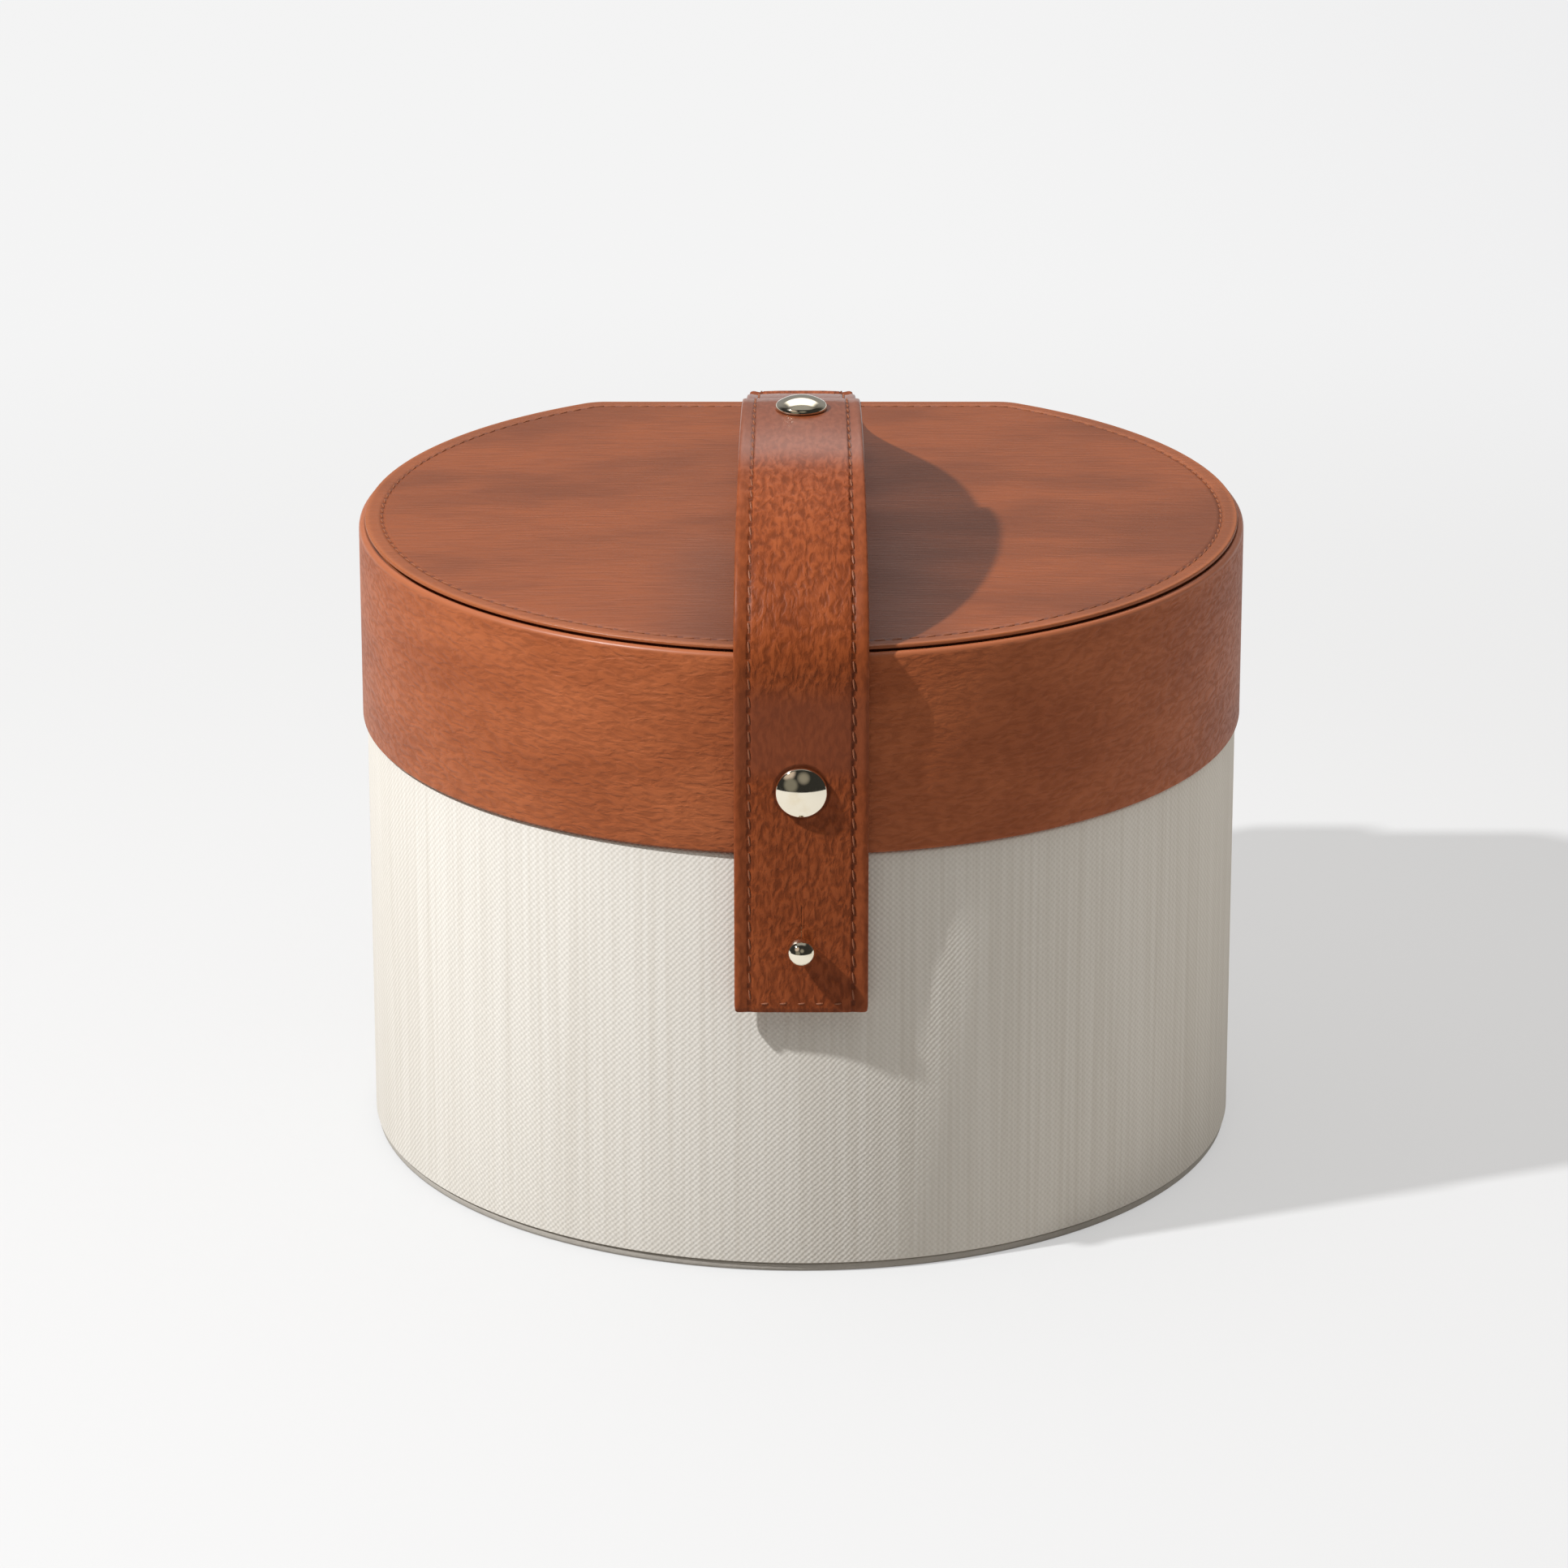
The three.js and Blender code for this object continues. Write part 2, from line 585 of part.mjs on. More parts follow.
const frontWidth = (y) => THREE.MathUtils.mapLinear(
  y,
  STRAP_FRONT_Y,
  LAP_END_Y,
  STRAP_FRONT_WIDTH,
  STRAP_LAP_WIDTH,
);
const frontStrap = strapAlong(frontCurves, frontWidth);
place(lid, 'handle_strap_front', cut(frontStrap, frontRivetHole, crownRivetHole), 'leather');
const backStrap = strapAlong(backCurves, () => STRAP_BACK_WIDTH);
place(lid, 'handle_strap_back', cut(backStrap, backRivetHole, crownRivetHole), 'leather');

// Cap rivets: a domed cap with a tube, and a post with a flat foot that is pressed into the tube.
// Height 0 is the cap's flat underside, and the stack is what the rivet holds together.
function rivet(name, stack) {
  const domeRadius = (RIVET_CAP_RADIUS ** 2 + RIVET_DOME_RISE ** 2) / (2 * RIVET_DOME_RISE);
  const rimAngle = Math.acos(RIVET_CAP_RADIUS / domeRadius);
  const domeCentre = RIVET_RIM_HEIGHT + RIVET_DOME_RISE - domeRadius;
  const tubeEnd = -(stack - 2 * GAP);
  const bore = RIVET_POST_RADIUS + GAP;
  const group = new THREE.Group();
  place(group, `${name}_rivet_cap`, turned([
    [0, -GAP],
    [bore, -GAP],
    [bore, tubeEnd],
    [RIVET_TUBE_RADIUS, tubeEnd],
    [RIVET_TUBE_RADIUS, 0],
    [RIVET_CAP_RADIUS, 0],
    ...profileArc(domeCentre, domeRadius, rimAngle, Math.PI / 2, DOME_STEPS),
  ], CAP_SIDES), 'gold');
  const footTop = -(stack + GAP);
  place(group, `${name}_rivet_post`, turned([
    [0, footTop - RIVET_FOOT_THICKNESS],
    [RIVET_FOOT_RADIUS, footTop - RIVET_FOOT_THICKNESS],
    [RIVET_FOOT_RADIUS, footTop],
    [RIVET_POST_RADIUS, footTop],
    [RIVET_POST_RADIUS, -2 * GAP],
    [0, -2 * GAP],
  ], ROUND_SIDES), 'gold');
  lid.add(group);
  return group;
}

const wallStack = LID_LINING_INNER + GAP + STRAP_THICKNESS + GAP;
const frontRivet = rivet('front', wallStack);
frontRivet.rotation.x = Math.PI;
frontRivet.position.set(0, STRAP_FRONT_Y - STRAP_THICKNESS / 2 - GAP, RIVET_Z);
const backRivet = rivet('back', wallStack);
backRivet.position.set(0, STRAP_BACK_Y + STRAP_THICKNESS / 2 + GAP, RIVET_Z);
const crownRivet = rivet('crown', lapDrop + STRAP_THICKNESS + GAP);
crownRivet.rotation.x = Math.PI / 2;
crownRivet.position.set(0, CROWN_Y, CROWN_Z + STRAP_THICKNESS / 2 + GAP);

// Tab: the strap's free end, with a keyhole slit for the stud and a rounded upper end to bend on
const tabSide = STRAP_FRONT_WIDTH / 2;
const tabShape = new THREE.Shape();
tabShape.moveTo(-tabSide, TAB_BEND_Z);
tabShape.lineTo(-tabSide, TAB_END_Z + TAB_CORNER_RADIUS);
tabShape.quadraticCurveTo(-tabSide, TAB_END_Z, -tabSide + TAB_CORNER_RADIUS, TAB_END_Z);
tabShape.lineTo(tabSide - TAB_CORNER_RADIUS, TAB_END_Z);
tabShape.quadraticCurveTo(tabSide, TAB_END_Z, tabSide, TAB_END_Z + TAB_CORNER_RADIUS);
tabShape.lineTo(tabSide, TAB_BEND_Z);
const slitAngle = Math.asin(KEYHOLE_SLIT_WIDTH / 2 / KEYHOLE_RADIUS);
const keyhole = new THREE.Path();
keyhole.absarc(0, STUD_Z, KEYHOLE_RADIUS, Math.PI / 2 - slitAngle, Math.PI / 2 + slitAngle, true);
keyhole.lineTo(-KEYHOLE_SLIT_WIDTH / 2, STUD_Z + KEYHOLE_SLIT_LENGTH);
keyhole.lineTo(KEYHOLE_SLIT_WIDTH / 2, STUD_Z + KEYHOLE_SLIT_LENGTH);
tabShape.holes.push(keyhole);
const tabSheet = new THREE.ExtrudeGeometry(tabShape, {
  depth: STRAP_THICKNESS,
  bevelEnabled: false,
  curveSegments: ROUND_SIDES / 2,
});
tabSheet.rotateX(Math.PI / 2).translate(0, STRAP_FRONT_Y + STRAP_THICKNESS / 2, 0);
const tabRoll = drillX(STRAP_THICKNESS / 2, -tabSide, tabSide, STRAP_FRONT_Y, TAB_BEND_Z);
place(tab, 'strap_tab', join(tabSheet, tabRoll), 'leather');

// Hinges, drawn about their own axis, with +Y away from the case. The base leaf is cranked outward
// by the lid's overhang, carries the two outer knuckles and holds the pin. The lid leaf carries the
// middle knuckle.
const halfHinge = HINGE_WIDTH / 2;
const middleEnd = MIDDLE_KNUCKLE_WIDTH / 2;
const outerStart = middleEnd + GAP;
const outerKnuckles = [[-halfHinge, -outerStart], [outerStart, halfHinge]];
const middleKnuckle = [[-middleEnd, middleEnd]];

// A leaf's plate, above (+1) or below (-1) the axis, with its far corners rounded and screw holes
function leafPlate(innerY, side) {
  const near = side * GAP;
  const far = side * HINGE_LEAF_HEIGHT;
  const bend = side * HINGE_CORNER_RADIUS;
  const shape = new THREE.Shape();
  shape.moveTo(-halfHinge, near);
  shape.lineTo(-halfHinge, far - bend);
  shape.quadraticCurveTo(-halfHinge, far, -halfHinge + HINGE_CORNER_RADIUS, far);
  shape.lineTo(halfHinge - HINGE_CORNER_RADIUS, far);
  shape.quadraticCurveTo(halfHinge, far, halfHinge, far - bend);
  shape.lineTo(halfHinge, near);
  const plate = new THREE.ExtrudeGeometry(shape, {
    depth: HINGE_LEAF_THICKNESS,
    bevelEnabled: false,
    curveSegments: CORNER_STEPS,
  });
  plate.rotateX(Math.PI / 2).translate(0, innerY + HINGE_LEAF_THICKNESS, 0);
  const holes = [-1, 1].map((end) => drillY(
    SCREW_RADIUS + GAP,
    innerY - DRILL_RUN,
    innerY + HINGE_LEAF_THICKNESS + DRILL_RUN,
    end * SCREW_X,
    side * SCREW_DROP,
  ));
  return cut(plate, ...holes);
}

function withKnuckles(leaf, own, other) {
  const barrels = own.map(([from, to]) => drillX(KNUCKLE_RADIUS, from, to, 0, 0));
  const room = other.map(([from, to]) => drillX(KNUCKLE_RADIUS + GAP, from - GAP, to + GAP, 0, 0));
  const bore = drillX(HINGE_PIN_RADIUS + GAP, -HINGE_WIDTH, HINGE_WIDTH, 0, 0);
  return cut(join(cut(leaf, ...room), ...barrels), bore);
}

const lidLeafInnerY = GAP - HINGE_AXIS_OUT;
const baseLeafInnerY = lidLeafInnerY - LINEN_INSET;
const crankOuterY = -HINGE_PIN_RADIUS - GAP;
const crankDepth = crankOuterY - baseLeafInnerY - GAP;
const crank = new THREE.BoxGeometry(HINGE_WIDTH, crankDepth, CRANK_HEIGHT);
crank.translate(0, crankOuterY - crankDepth / 2, -GAP - CRANK_HEIGHT / 2);
const basePlate = leafPlate(baseLeafInnerY, -1);
const baseLeaf = withKnuckles(join(basePlate, crank), outerKnuckles, middleKnuckle);
const lidPlate = leafPlate(lidLeafInnerY, 1);
const lidLeaf = withKnuckles(lidPlate, middleKnuckle, outerKnuckles);
const hingePin = drillX(HINGE_PIN_RADIUS, -halfHinge, halfHinge, 0, 0);

const screwSeat = HINGE_LEAF_THICKNESS + 2 * GAP;
const hingeScrew = turned([
  [0, -SCREW_BITE],
  [SCREW_RADIUS, -SCREW_BITE],
  [SCREW_RADIUS, screwSeat],
  [SCREW_HEAD_RADIUS, screwSeat],
  [SCREW_HEAD_TOP_RADIUS, screwSeat + SCREW_HEAD_HEIGHT],
  [0, screwSeat + SCREW_HEAD_HEIGHT],
], SCREW_SIDES);

const sideNames = { '-1': 'left', 1: 'right' };
for (const hinge of [-1, 1]) {
  const side = sideNames[hinge];
  const pieces = [
    place(base, `hinge_base_leaf_${side}`, baseLeaf, 'gold'),
    place(base, `hinge_pin_${side}`, hingePin, 'gold'),
    place(lid, `hinge_lid_leaf_${side}`, lidLeaf, 'gold'),
  ];
  pieces.forEach((piece) => piece.position.set(hinge * HINGE_X, HINGE_AXIS_Y, HINGE_AXIS_Z));
}
for (const { hinge, end, x, z } of screwPlaces(-1)) {
  const name = `base_screw_${sideNames[hinge]}_${hinge === end ? 'outer' : 'inner'}`;
  place(base, name, hingeScrew, 'gold').position.set(x, linenBackY, z);
}
for (const { hinge, end, x, z } of screwPlaces(1)) {
  const name = `lid_screw_${sideNames[hinge]}_${hinge === end ? 'outer' : 'inner'}`;
  place(lid, name, hingeScrew, 'gold').position.set(x, FLAT_BACK_Y, z);
}

const vanityCase = new THREE.Group();
vanityCase.add(base, lid, tab);

export default vanityCase;
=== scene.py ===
"""A round vanity case: linen body, hinged leather lid, and one strap that is both handle and clasp."""
import math

import bmesh
import bpy
from mathutils import Matrix, Vector
from mathutils.geometry import interpolate_bezier
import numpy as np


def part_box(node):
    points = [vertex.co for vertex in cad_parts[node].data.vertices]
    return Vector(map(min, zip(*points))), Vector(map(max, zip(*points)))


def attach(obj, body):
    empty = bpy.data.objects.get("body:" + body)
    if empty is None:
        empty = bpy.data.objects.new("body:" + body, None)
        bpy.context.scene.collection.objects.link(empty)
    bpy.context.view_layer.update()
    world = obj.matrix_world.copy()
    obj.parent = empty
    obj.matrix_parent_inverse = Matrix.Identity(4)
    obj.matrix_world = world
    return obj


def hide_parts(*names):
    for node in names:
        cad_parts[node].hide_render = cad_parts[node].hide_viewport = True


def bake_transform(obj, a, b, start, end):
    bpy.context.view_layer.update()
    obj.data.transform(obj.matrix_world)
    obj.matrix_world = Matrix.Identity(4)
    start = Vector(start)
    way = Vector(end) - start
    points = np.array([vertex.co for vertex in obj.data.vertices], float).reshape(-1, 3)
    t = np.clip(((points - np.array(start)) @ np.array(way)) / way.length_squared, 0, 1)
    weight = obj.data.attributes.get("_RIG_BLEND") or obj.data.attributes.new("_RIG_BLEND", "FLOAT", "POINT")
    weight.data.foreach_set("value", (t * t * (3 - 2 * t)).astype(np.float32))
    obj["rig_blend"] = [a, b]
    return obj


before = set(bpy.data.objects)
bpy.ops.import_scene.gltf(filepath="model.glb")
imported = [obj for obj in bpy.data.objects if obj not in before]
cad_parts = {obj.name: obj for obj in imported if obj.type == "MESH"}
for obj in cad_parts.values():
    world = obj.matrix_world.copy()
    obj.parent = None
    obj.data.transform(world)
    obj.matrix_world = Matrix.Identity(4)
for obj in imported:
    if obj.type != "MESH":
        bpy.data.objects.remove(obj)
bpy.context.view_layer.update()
scene = bpy.context.scene
scene.view_settings.view_transform = "Standard"


# The view
# The case stands square to the camera, which looks down on it a little from the front.
# A long lens keeps the upright sides nearly parallel.
camera_data = bpy.data.cameras.new("front_view")
camera_data.sensor_width = 36
camera_data.lens = 154.1
camera_data.shift_x = -0.011
camera = bpy.data.objects.new("front_view", camera_data)
camera.location = (0, -1.596, 0.660)
camera_downward_pitch = 19.77
camera.rotation_euler.x = math.radians(90 - camera_downward_pitch)
scene.collection.objects.link(camera)
scene.camera = camera


# Base panel
# The thin board under the case, wrapped in matt grey-brown leathercloth and glued on.
# It stands back a little from the linen, so the case ends in a fine line above the table.
mm = 0.001
plan_radius = 110 * mm
back_y = 95.5 * mm
corner_radius = 12 * mm
corner_y = back_y - corner_radius
corner_x = math.sqrt((plan_radius - corner_radius) ** 2 - corner_y ** 2)
corner_turn = math.pi / 2 - math.atan2(corner_y, corner_x)
round_turn = math.pi - corner_turn
round_length = plan_radius * round_turn
corner_end = round_length + corner_radius * corner_turn


def round_off(bm, corners, radius, segments=4, affect="VERTICES"):
    """Round corners of an outline, or edges of a plate, by a radius in millimetres."""
    bmesh.ops.bevel(bm, geom=corners, offset=radius * mm, offset_type="OFFSET", segments=segments,
                    profile=0.5, affect=affect, material=-1)


def draw_outline(bm, places, rounds):
    """Draw a closed outline through places in metres, with some of its corners rounded."""
    points = [bm.verts.new(place) for place in places]
    bm.faces.new(points)
    for index, radius in rounds:
        round_off(bm, [points[index]], radius)
    bmesh.ops.delete(bm, geom=bm.faces[:], context="FACES_ONLY")
    return points


def face_outward(bm):
    bmesh.ops.recalc_face_normals(bm, faces=bm.faces[:])


def wrap_round(corners, rounds, is_open=False):
    """Carry a section of (inset, height) corners in millimetres once round the case from its flat back."""
    bm = bmesh.new()
    points = draw_outline(bm, [(0, back_y - inset * mm, height * mm) for inset, height in corners], rounds)
    if is_open:
        closing_edge = {points[-1], points[0]}
        extra = [edge for edge in bm.edges if set(edge.verts) == closing_edge]
        bmesh.ops.delete(bm, geom=extra, context="EDGES")

    def carry(run, steps, centre=(0, 0, 0), angle=0.0, step=(0, 0, 0)):
        made = bmesh.ops.spin(bm, geom=run, cent=centre, axis=(0, 0, 1), dvec=step, angle=angle, steps=steps)
        return made["geom_last"]

    flat_steps, corner_steps, round_steps = 6, 8, 144
    along_back = (-corner_x / flat_steps, 0, 0)
    run = carry(bm.verts[:] + bm.edges[:], flat_steps, step=along_back)
    run = carry(run, corner_steps, (-corner_x, corner_y, 0), corner_turn)
    run = carry(run, round_steps, angle=2 * round_turn)
    run = carry(run, corner_steps, (corner_x, corner_y, 0), corner_turn)
    carry(run, flat_steps, step=along_back)
    bmesh.ops.remove_doubles(bm, verts=bm.verts[:], dist=0.002 * mm)
    face_outward(bm)
    return bm


def edges_at(bm, axis, level):
    """The edges of a shape that lie at one level, in metres, on an axis."""
    return [edge for edge in bm.edges if all(abs(vert.co[axis] - level) < 0.01 * mm for vert in edge.verts)]


def open_rim(bm, height):
    """The open edges of a shape at one height in millimetres."""
    return [edge for edge in edges_at(bm, 2, height * mm) if edge.is_boundary]


def extrude_rim(bm, rim):
    """Extrude a rim of edges in its place, and return the new points and the new rim."""
    made = bmesh.ops.extrude_edge_only(bm, edges=rim)["geom"]
    fresh = [item for item in made if isinstance(item, bmesh.types.BMVert)]
    edges = [item for item in made if isinstance(item, bmesh.types.BMEdge)]
    ends = set(fresh)
    return fresh, [edge for edge in edges if set(edge.verts) <= ends]


def close_middle(bm, height, rise=0.0, rings=3):
    """Close an open rim with rings that shrink to the middle and swell by rise millimetres."""
    rim = open_rim(bm, height)
    for ring in range(1, rings):
        fresh, rim = extrude_rim(bm, rim)
        before = 1 - (ring - 1) / rings
        after = 1 - ring / rings
        lift = rise * mm * (before ** 2 - after ** 2)
        bmesh.ops.scale(bm, vec=(after / before, after / before, 1), verts=fresh)
        bmesh.ops.translate(bm, vec=(0, 0, lift), verts=fresh)
    cap = bmesh.ops.edgeloop_fill(bm, edges=rim)["faces"]
    bmesh.ops.poke(bm, faces=cap)
    face_outward(bm)


def outline_place(point):
    """How far along the outline from the front's middle a point lies, and how far inside it."""
    aside = abs(point.x)
    turn = math.atan2(aside, -point.y)
    if turn <= round_turn:
        return plan_radius * turn, plan_radius - math.hypot(aside, point.y)
    out_x = aside - corner_x
    out_y = point.y - corner_y
    if out_x > 0:
        along = round_length + corner_radius * (corner_turn - math.atan2(out_x, out_y))
        return along, corner_radius - math.hypot(out_x, out_y)
    return corner_end - out_x, back_y - point.y


def lay_flat(bm):
    """Give a wrapped sheet its UV map in metres: along the outline, and up the wall and over its edge."""
    layer = bm.loops.layers.uv.new("wrap")
    for face in bm.faces:
        side = math.copysign(1, face.calc_center_median().x)
        for loop in face.loops:
            along, inset = outline_place(loop.vert.co)
            loop[layer].uv = (side * along, loop.vert.co.z + inset)


def make_object(name, bm):
    """Turn a shape into an object of the scene."""
    mesh = bpy.data.meshes.new(name)
    bm.to_mesh(mesh)
    bm.free()
    made = bpy.data.objects.new(name, mesh)
    scene.collection.objects.link(made)
    return made


def finish_piece(name, bm, material, body, slot, *nodes):
    """Make the piece from its shape, let it ride on its body and hide the solids it stands for."""
    piece = make_object(name, bm)
    piece.data.materials.append(material)
    piece.data.shade_smooth()
    piece.data.set_sharp_from_angle(angle=math.radians(50))
    if body:
        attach(piece, body)
    if nodes:
        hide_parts(*nodes)
    return piece


def put(tree, kind, feeds=None, **settings):
    """Add a shader node, set it up, and feed its sockets with values or with other nodes' outputs."""
    node = tree.nodes.new("ShaderNode" + kind)
    for name, value in settings.items():
        setattr(node, name, value)
    for socket, value in (feeds or {}).items():
        if isinstance(value, bpy.types.NodeSocket):
            tree.links.new(value, node.inputs[socket])
        else:
            node.inputs[socket].default_value = value
    return node.outputs


def maths(tree, operation, first, second=0.0):
    return put(tree, "Math", {0: first, 1: second}, operation=operation)[0]


def noise(tree, place, scale, detail=2.0, roughness=0.5):
    feeds = {"Vector": place, "Scale": scale, "Detail": detail, "Roughness": roughness}
    return put(tree, "TexNoise", feeds)


def stretch(tree, place, x, y, z=1.0):
    return put(tree, "VectorMath", {0: place, 1: (x, y, z)}, operation="MULTIPLY")[0]


def between(tree, value, low, high, first=0.0, last=1.0):
    """Spread the part of a value between low and high smoothly from first to last."""
    feeds = {"Value": value, "From Min": low, "From Max": high, "To Min": first, "To Max": last}
    return put(tree, "MapRange", feeds, interpolation_type="SMOOTHSTEP")[0]


def mix(tree, share, first, second):
    return put(tree, "Mix", {0: share, 6: first, 7: second}, data_type="RGBA")[2]


def bump(tree, height, depth, strength=1.0):
    return put(tree, "Bump", {"Height": height, "Distance": depth, "Strength": strength})[0]


def new_finish(name):
    """An empty material and its node tree."""
    material = bpy.data.materials.new(name)
    material.use_nodes = True
    material.node_tree.nodes.clear()
    return material, material.node_tree


def coat(tree, feeds):
    """End a material with its surface shader."""
    surface = put(tree, "BsdfPrincipled", feeds)[0]
    put(tree, "OutputMaterial", {"Surface": surface})


def new_group(name, takes, gives):
    """A shader node group with named inputs and outputs."""
    group = bpy.data.node_groups.new(name, "ShaderNodeTree")
    for socket, kind in takes.items():
        group.interface.new_socket(socket, in_out="INPUT", socket_type="NodeSocket" + kind)
    for socket in gives:
        group.interface.new_socket(socket, in_out="OUTPUT", socket_type="NodeSocketFloat")
    return group, group.nodes.new("NodeGroupInput").outputs, group.nodes.new("NodeGroupOutput").inputs


leathercloth, tree = new_finish("grey_brown_leathercloth")
place = put(tree, "TexCoord")["Object"]
grain = noise(tree, place, 900, 3)[0]
patches = noise(tree, place, 40)[0]
coat(tree, {
    "Base Color": mix(tree, patches, (0.380, 0.350, 0.310, 1), (0.460, 0.430, 0.385, 1)),
    "Roughness": between(tree, grain, 0.3, 0.7, 0.55, 0.8),
    "Normal": bump(tree, grain, 0.15 * mm),
})

board_edge, board_core, board_top = 1.6, 11.5, 2
board = [(board_core, 0), (board_edge, 0), (board_edge, board_top), (board_core, board_top)]
shape = wrap_round(board, [(1, 0.8), (2, 0.3)], is_open=True)
close_middle(shape, 0)
close_middle(shape, board_top)
finish_piece("base_panel_board", shape, leathercloth, "base", "dark_underside", "base_panel")


# Boards of the drum and the lid
# Bent and flat pressed fibreboard, glued together, which carry the coverings and linings.
# They are covered all over, so their solids stay and only get the board's finish.
fibreboard, tree = new_finish("pressed_fibreboard")
place = put(tree, "TexCoord")["Object"]
fibres = noise(tree, stretch(tree, place, 1, 1, 4), 350, 5, 0.7)[0]
specks = noise(tree, place, 2200, 1)[0]
coat(tree, {
    "Base Color": mix(tree, between(tree, fibres, 0.3, 0.7), (0.24, 0.16, 0.09, 1), (0.42, 0.31, 0.19, 1)),
    "Roughness": between(tree, specks, 0.3, 0.7, 0.75, 0.92),
    "Normal": bump(tree, fibres, 0.1 * mm),
})


def dress_solid(node, material):
    """Give a solid that stays in the scene its finish."""
    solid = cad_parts[node].data
    solid.materials.clear()
    solid.materials.append(material)


for node in ("floor_board", "base_wall", "neck_collar", "lid_wall", "lid_top_board"):
    dress_solid(node, fibreboard)


# Linen cover
# Off-white linen with upright slubs, glued round the drum and turned over its rim.
# Its bottom edge is cut level above the base panel.
weave, given, result = new_group("cloth_weave", {"Place": "Vector", "Pitch": "Float"},
                                 ("Height", "Upright", "Level"))


def pull(tree, place, scale, reach):
    """Move a texture's place about softly, so that its lines wander."""
    drift = noise(tree, place, scale)["Color"]
    drift = put(tree, "VectorMath", {0: drift, 1: (0.5, 0.5, 0.5)}, operation="SUBTRACT")[0]
    drift = put(tree, "VectorMath", {0: drift, "Scale": reach}, operation="SCALE")[0]
    return put(tree, "VectorMath", {0: place, 1: drift}, operation="ADD")[0]


def times(tree, first, second):
    return maths(tree, "MULTIPLY", first, second)


def add_up(tree, *shares):
    """The sum of several values, each with its own weight."""
    total = 0.0
    for value, weight in shares:
        total = maths(tree, "ADD", times(tree, value, weight), total)
    return total


place = given["Place"]
threads = pull(weave, place, 260, 0.7 * mm)
turns = maths(weave, "DIVIDE", math.tau, given["Pitch"])
threads = put(weave, "VectorMath", {0: threads, "Scale": turns}, operation="SCALE")[0]
across, up = put(weave, "SeparateXYZ", {0: threads})[0:2]
crossing = times(weave, maths(weave, "SINE", across), maths(weave, "SINE", up))
weave.links.new(crossing, result["Height"])
broad = noise(weave, stretch(weave, place, 90, 4, 0), 1, 3, 0.6)[0]
narrow = noise(weave, stretch(weave, place, 800, 9, 0), 1)[0]
weave.links.new(add_up(weave, (broad, 0.35), (narrow, 0.65)), result["Upright"])
weave.links.new(noise(weave, stretch(weave, place, 40, 900, 0), 1)[0], result["Level"])

linen, tree = new_finish("slub_linen")
linen_thread_pitch = 1.5 * mm
place = put(tree, "UVMap", uv_map="wrap")[0]
cloth = put(tree, "Group", {"Place": place, "Pitch": linen_thread_pitch}, node_tree=weave)
slubs = between(tree, cloth["Upright"], 0.38, 0.62)
tone = mix(tree, slubs, (0.745, 0.705, 0.640, 1), (0.810, 0.775, 0.715, 1))
tone = mix(tree, between(tree, cloth["Upright"], 0.28, 0.40, 0.30, 0), tone, (0.58, 0.53, 0.46, 1))
tone = mix(tree, between(tree, cloth["Level"], 0.60, 0.75, 0, 0.25), tone, (0.86, 0.83, 0.77, 1))
# Painted shade darkens the weave down between its threads.
tone = mix(tree, between(tree, cloth["Height"], -0.9, 0.5, 0.22, 0), tone, (0.50, 0.46, 0.39, 1))
coat(tree, {
    "Base Color": tone,
    "Roughness": between(tree, cloth["Height"], -0.9, 0.9, 0.95, 0.82),
    "Specular IOR Level": 0.2,
    "Normal": bump(tree, cloth["Height"], 0.05 * mm, 0.8),
})

linen_out, linen_in, linen_bottom = 1.1, 2.0, 2.3
rim_out, rim_in, rim_reach = 107.7, 107.0, 5.7
turned_in = [(linen_out, linen_bottom), (linen_out, rim_out), (rim_reach, rim_out), (rim_reach, rim_in),
             (linen_in, rim_in), (linen_in, linen_bottom)]
shape = wrap_round(turned_in, [(0, 0.3), (1, 0.8)])
lay_flat(shape)
linen_cloth = finish_piece("linen_cloth", shape, linen, "base", "linen", "linen_cover")


# Linings of the base and the lid
# Soft brushed suede cloth, glued over the collar and down to the floor, and inside the lid's ring.
# Over the collar it is folded, so that the collar's top is soft and rounded.
suede, tree = new_finish("brushed_suede_cloth")
place = put(tree, "TexCoord")["Object"]
nap = noise(tree, place, 1800, 3, 0.6)[0]
strokes = noise(tree, stretch(tree, place, 1, 1, 0.4), 55, 3, 0.6)[0]
tone = mix(tree, between(tree, strokes, 0.35, 0.65), (0.46, 0.36, 0.26, 1), (0.60, 0.50, 0.38, 1))
coat(tree, {
    "Base Color": mix(tree, between(tree, nap, 0.4, 0.75, 0, 0.4), tone, (0.70, 0.60, 0.48, 1)),
    "Roughness": between(tree, nap, 0.3, 0.7, 0.85, 0.97),
    "Sheen Weight": 0.3,
    "Sheen Roughness": 0.4,
    "Normal": bump(tree, nap, 0.12 * mm),
})

collar_foot, collar_top, pad_bottom = 107.5, 118, 5.6
fold = [(6.2, collar_foot), (6.2, collar_top), (9.7, collar_top), (9.7, pad_bottom), (9.1, pad_bottom),
        (9.1, collar_top - 0.6), (6.7, collar_top - 0.6), (6.7, collar_foot)]
shape = wrap_round(fold, [(1, 1.4), (2, 1.4), (5, 0.9), (6, 0.9)])
base_cloth = finish_piece("base_suede_lining", shape, suede, "base", "lining", "base_lining")

lid_ceiling, lid_lining_foot = 152.7, 109.2
lid_strip = [(4.5, lid_lining_foot), (4.5, lid_ceiling), (5.1, lid_ceiling), (5.1, lid_lining_foot)]
shape = wrap_round(lid_strip, [(0, 0.2), (3, 0.2)])
lid_cloth = finish_piece("lid_suede_lining", shape, suede, "lid", "lining", "lid_lining")


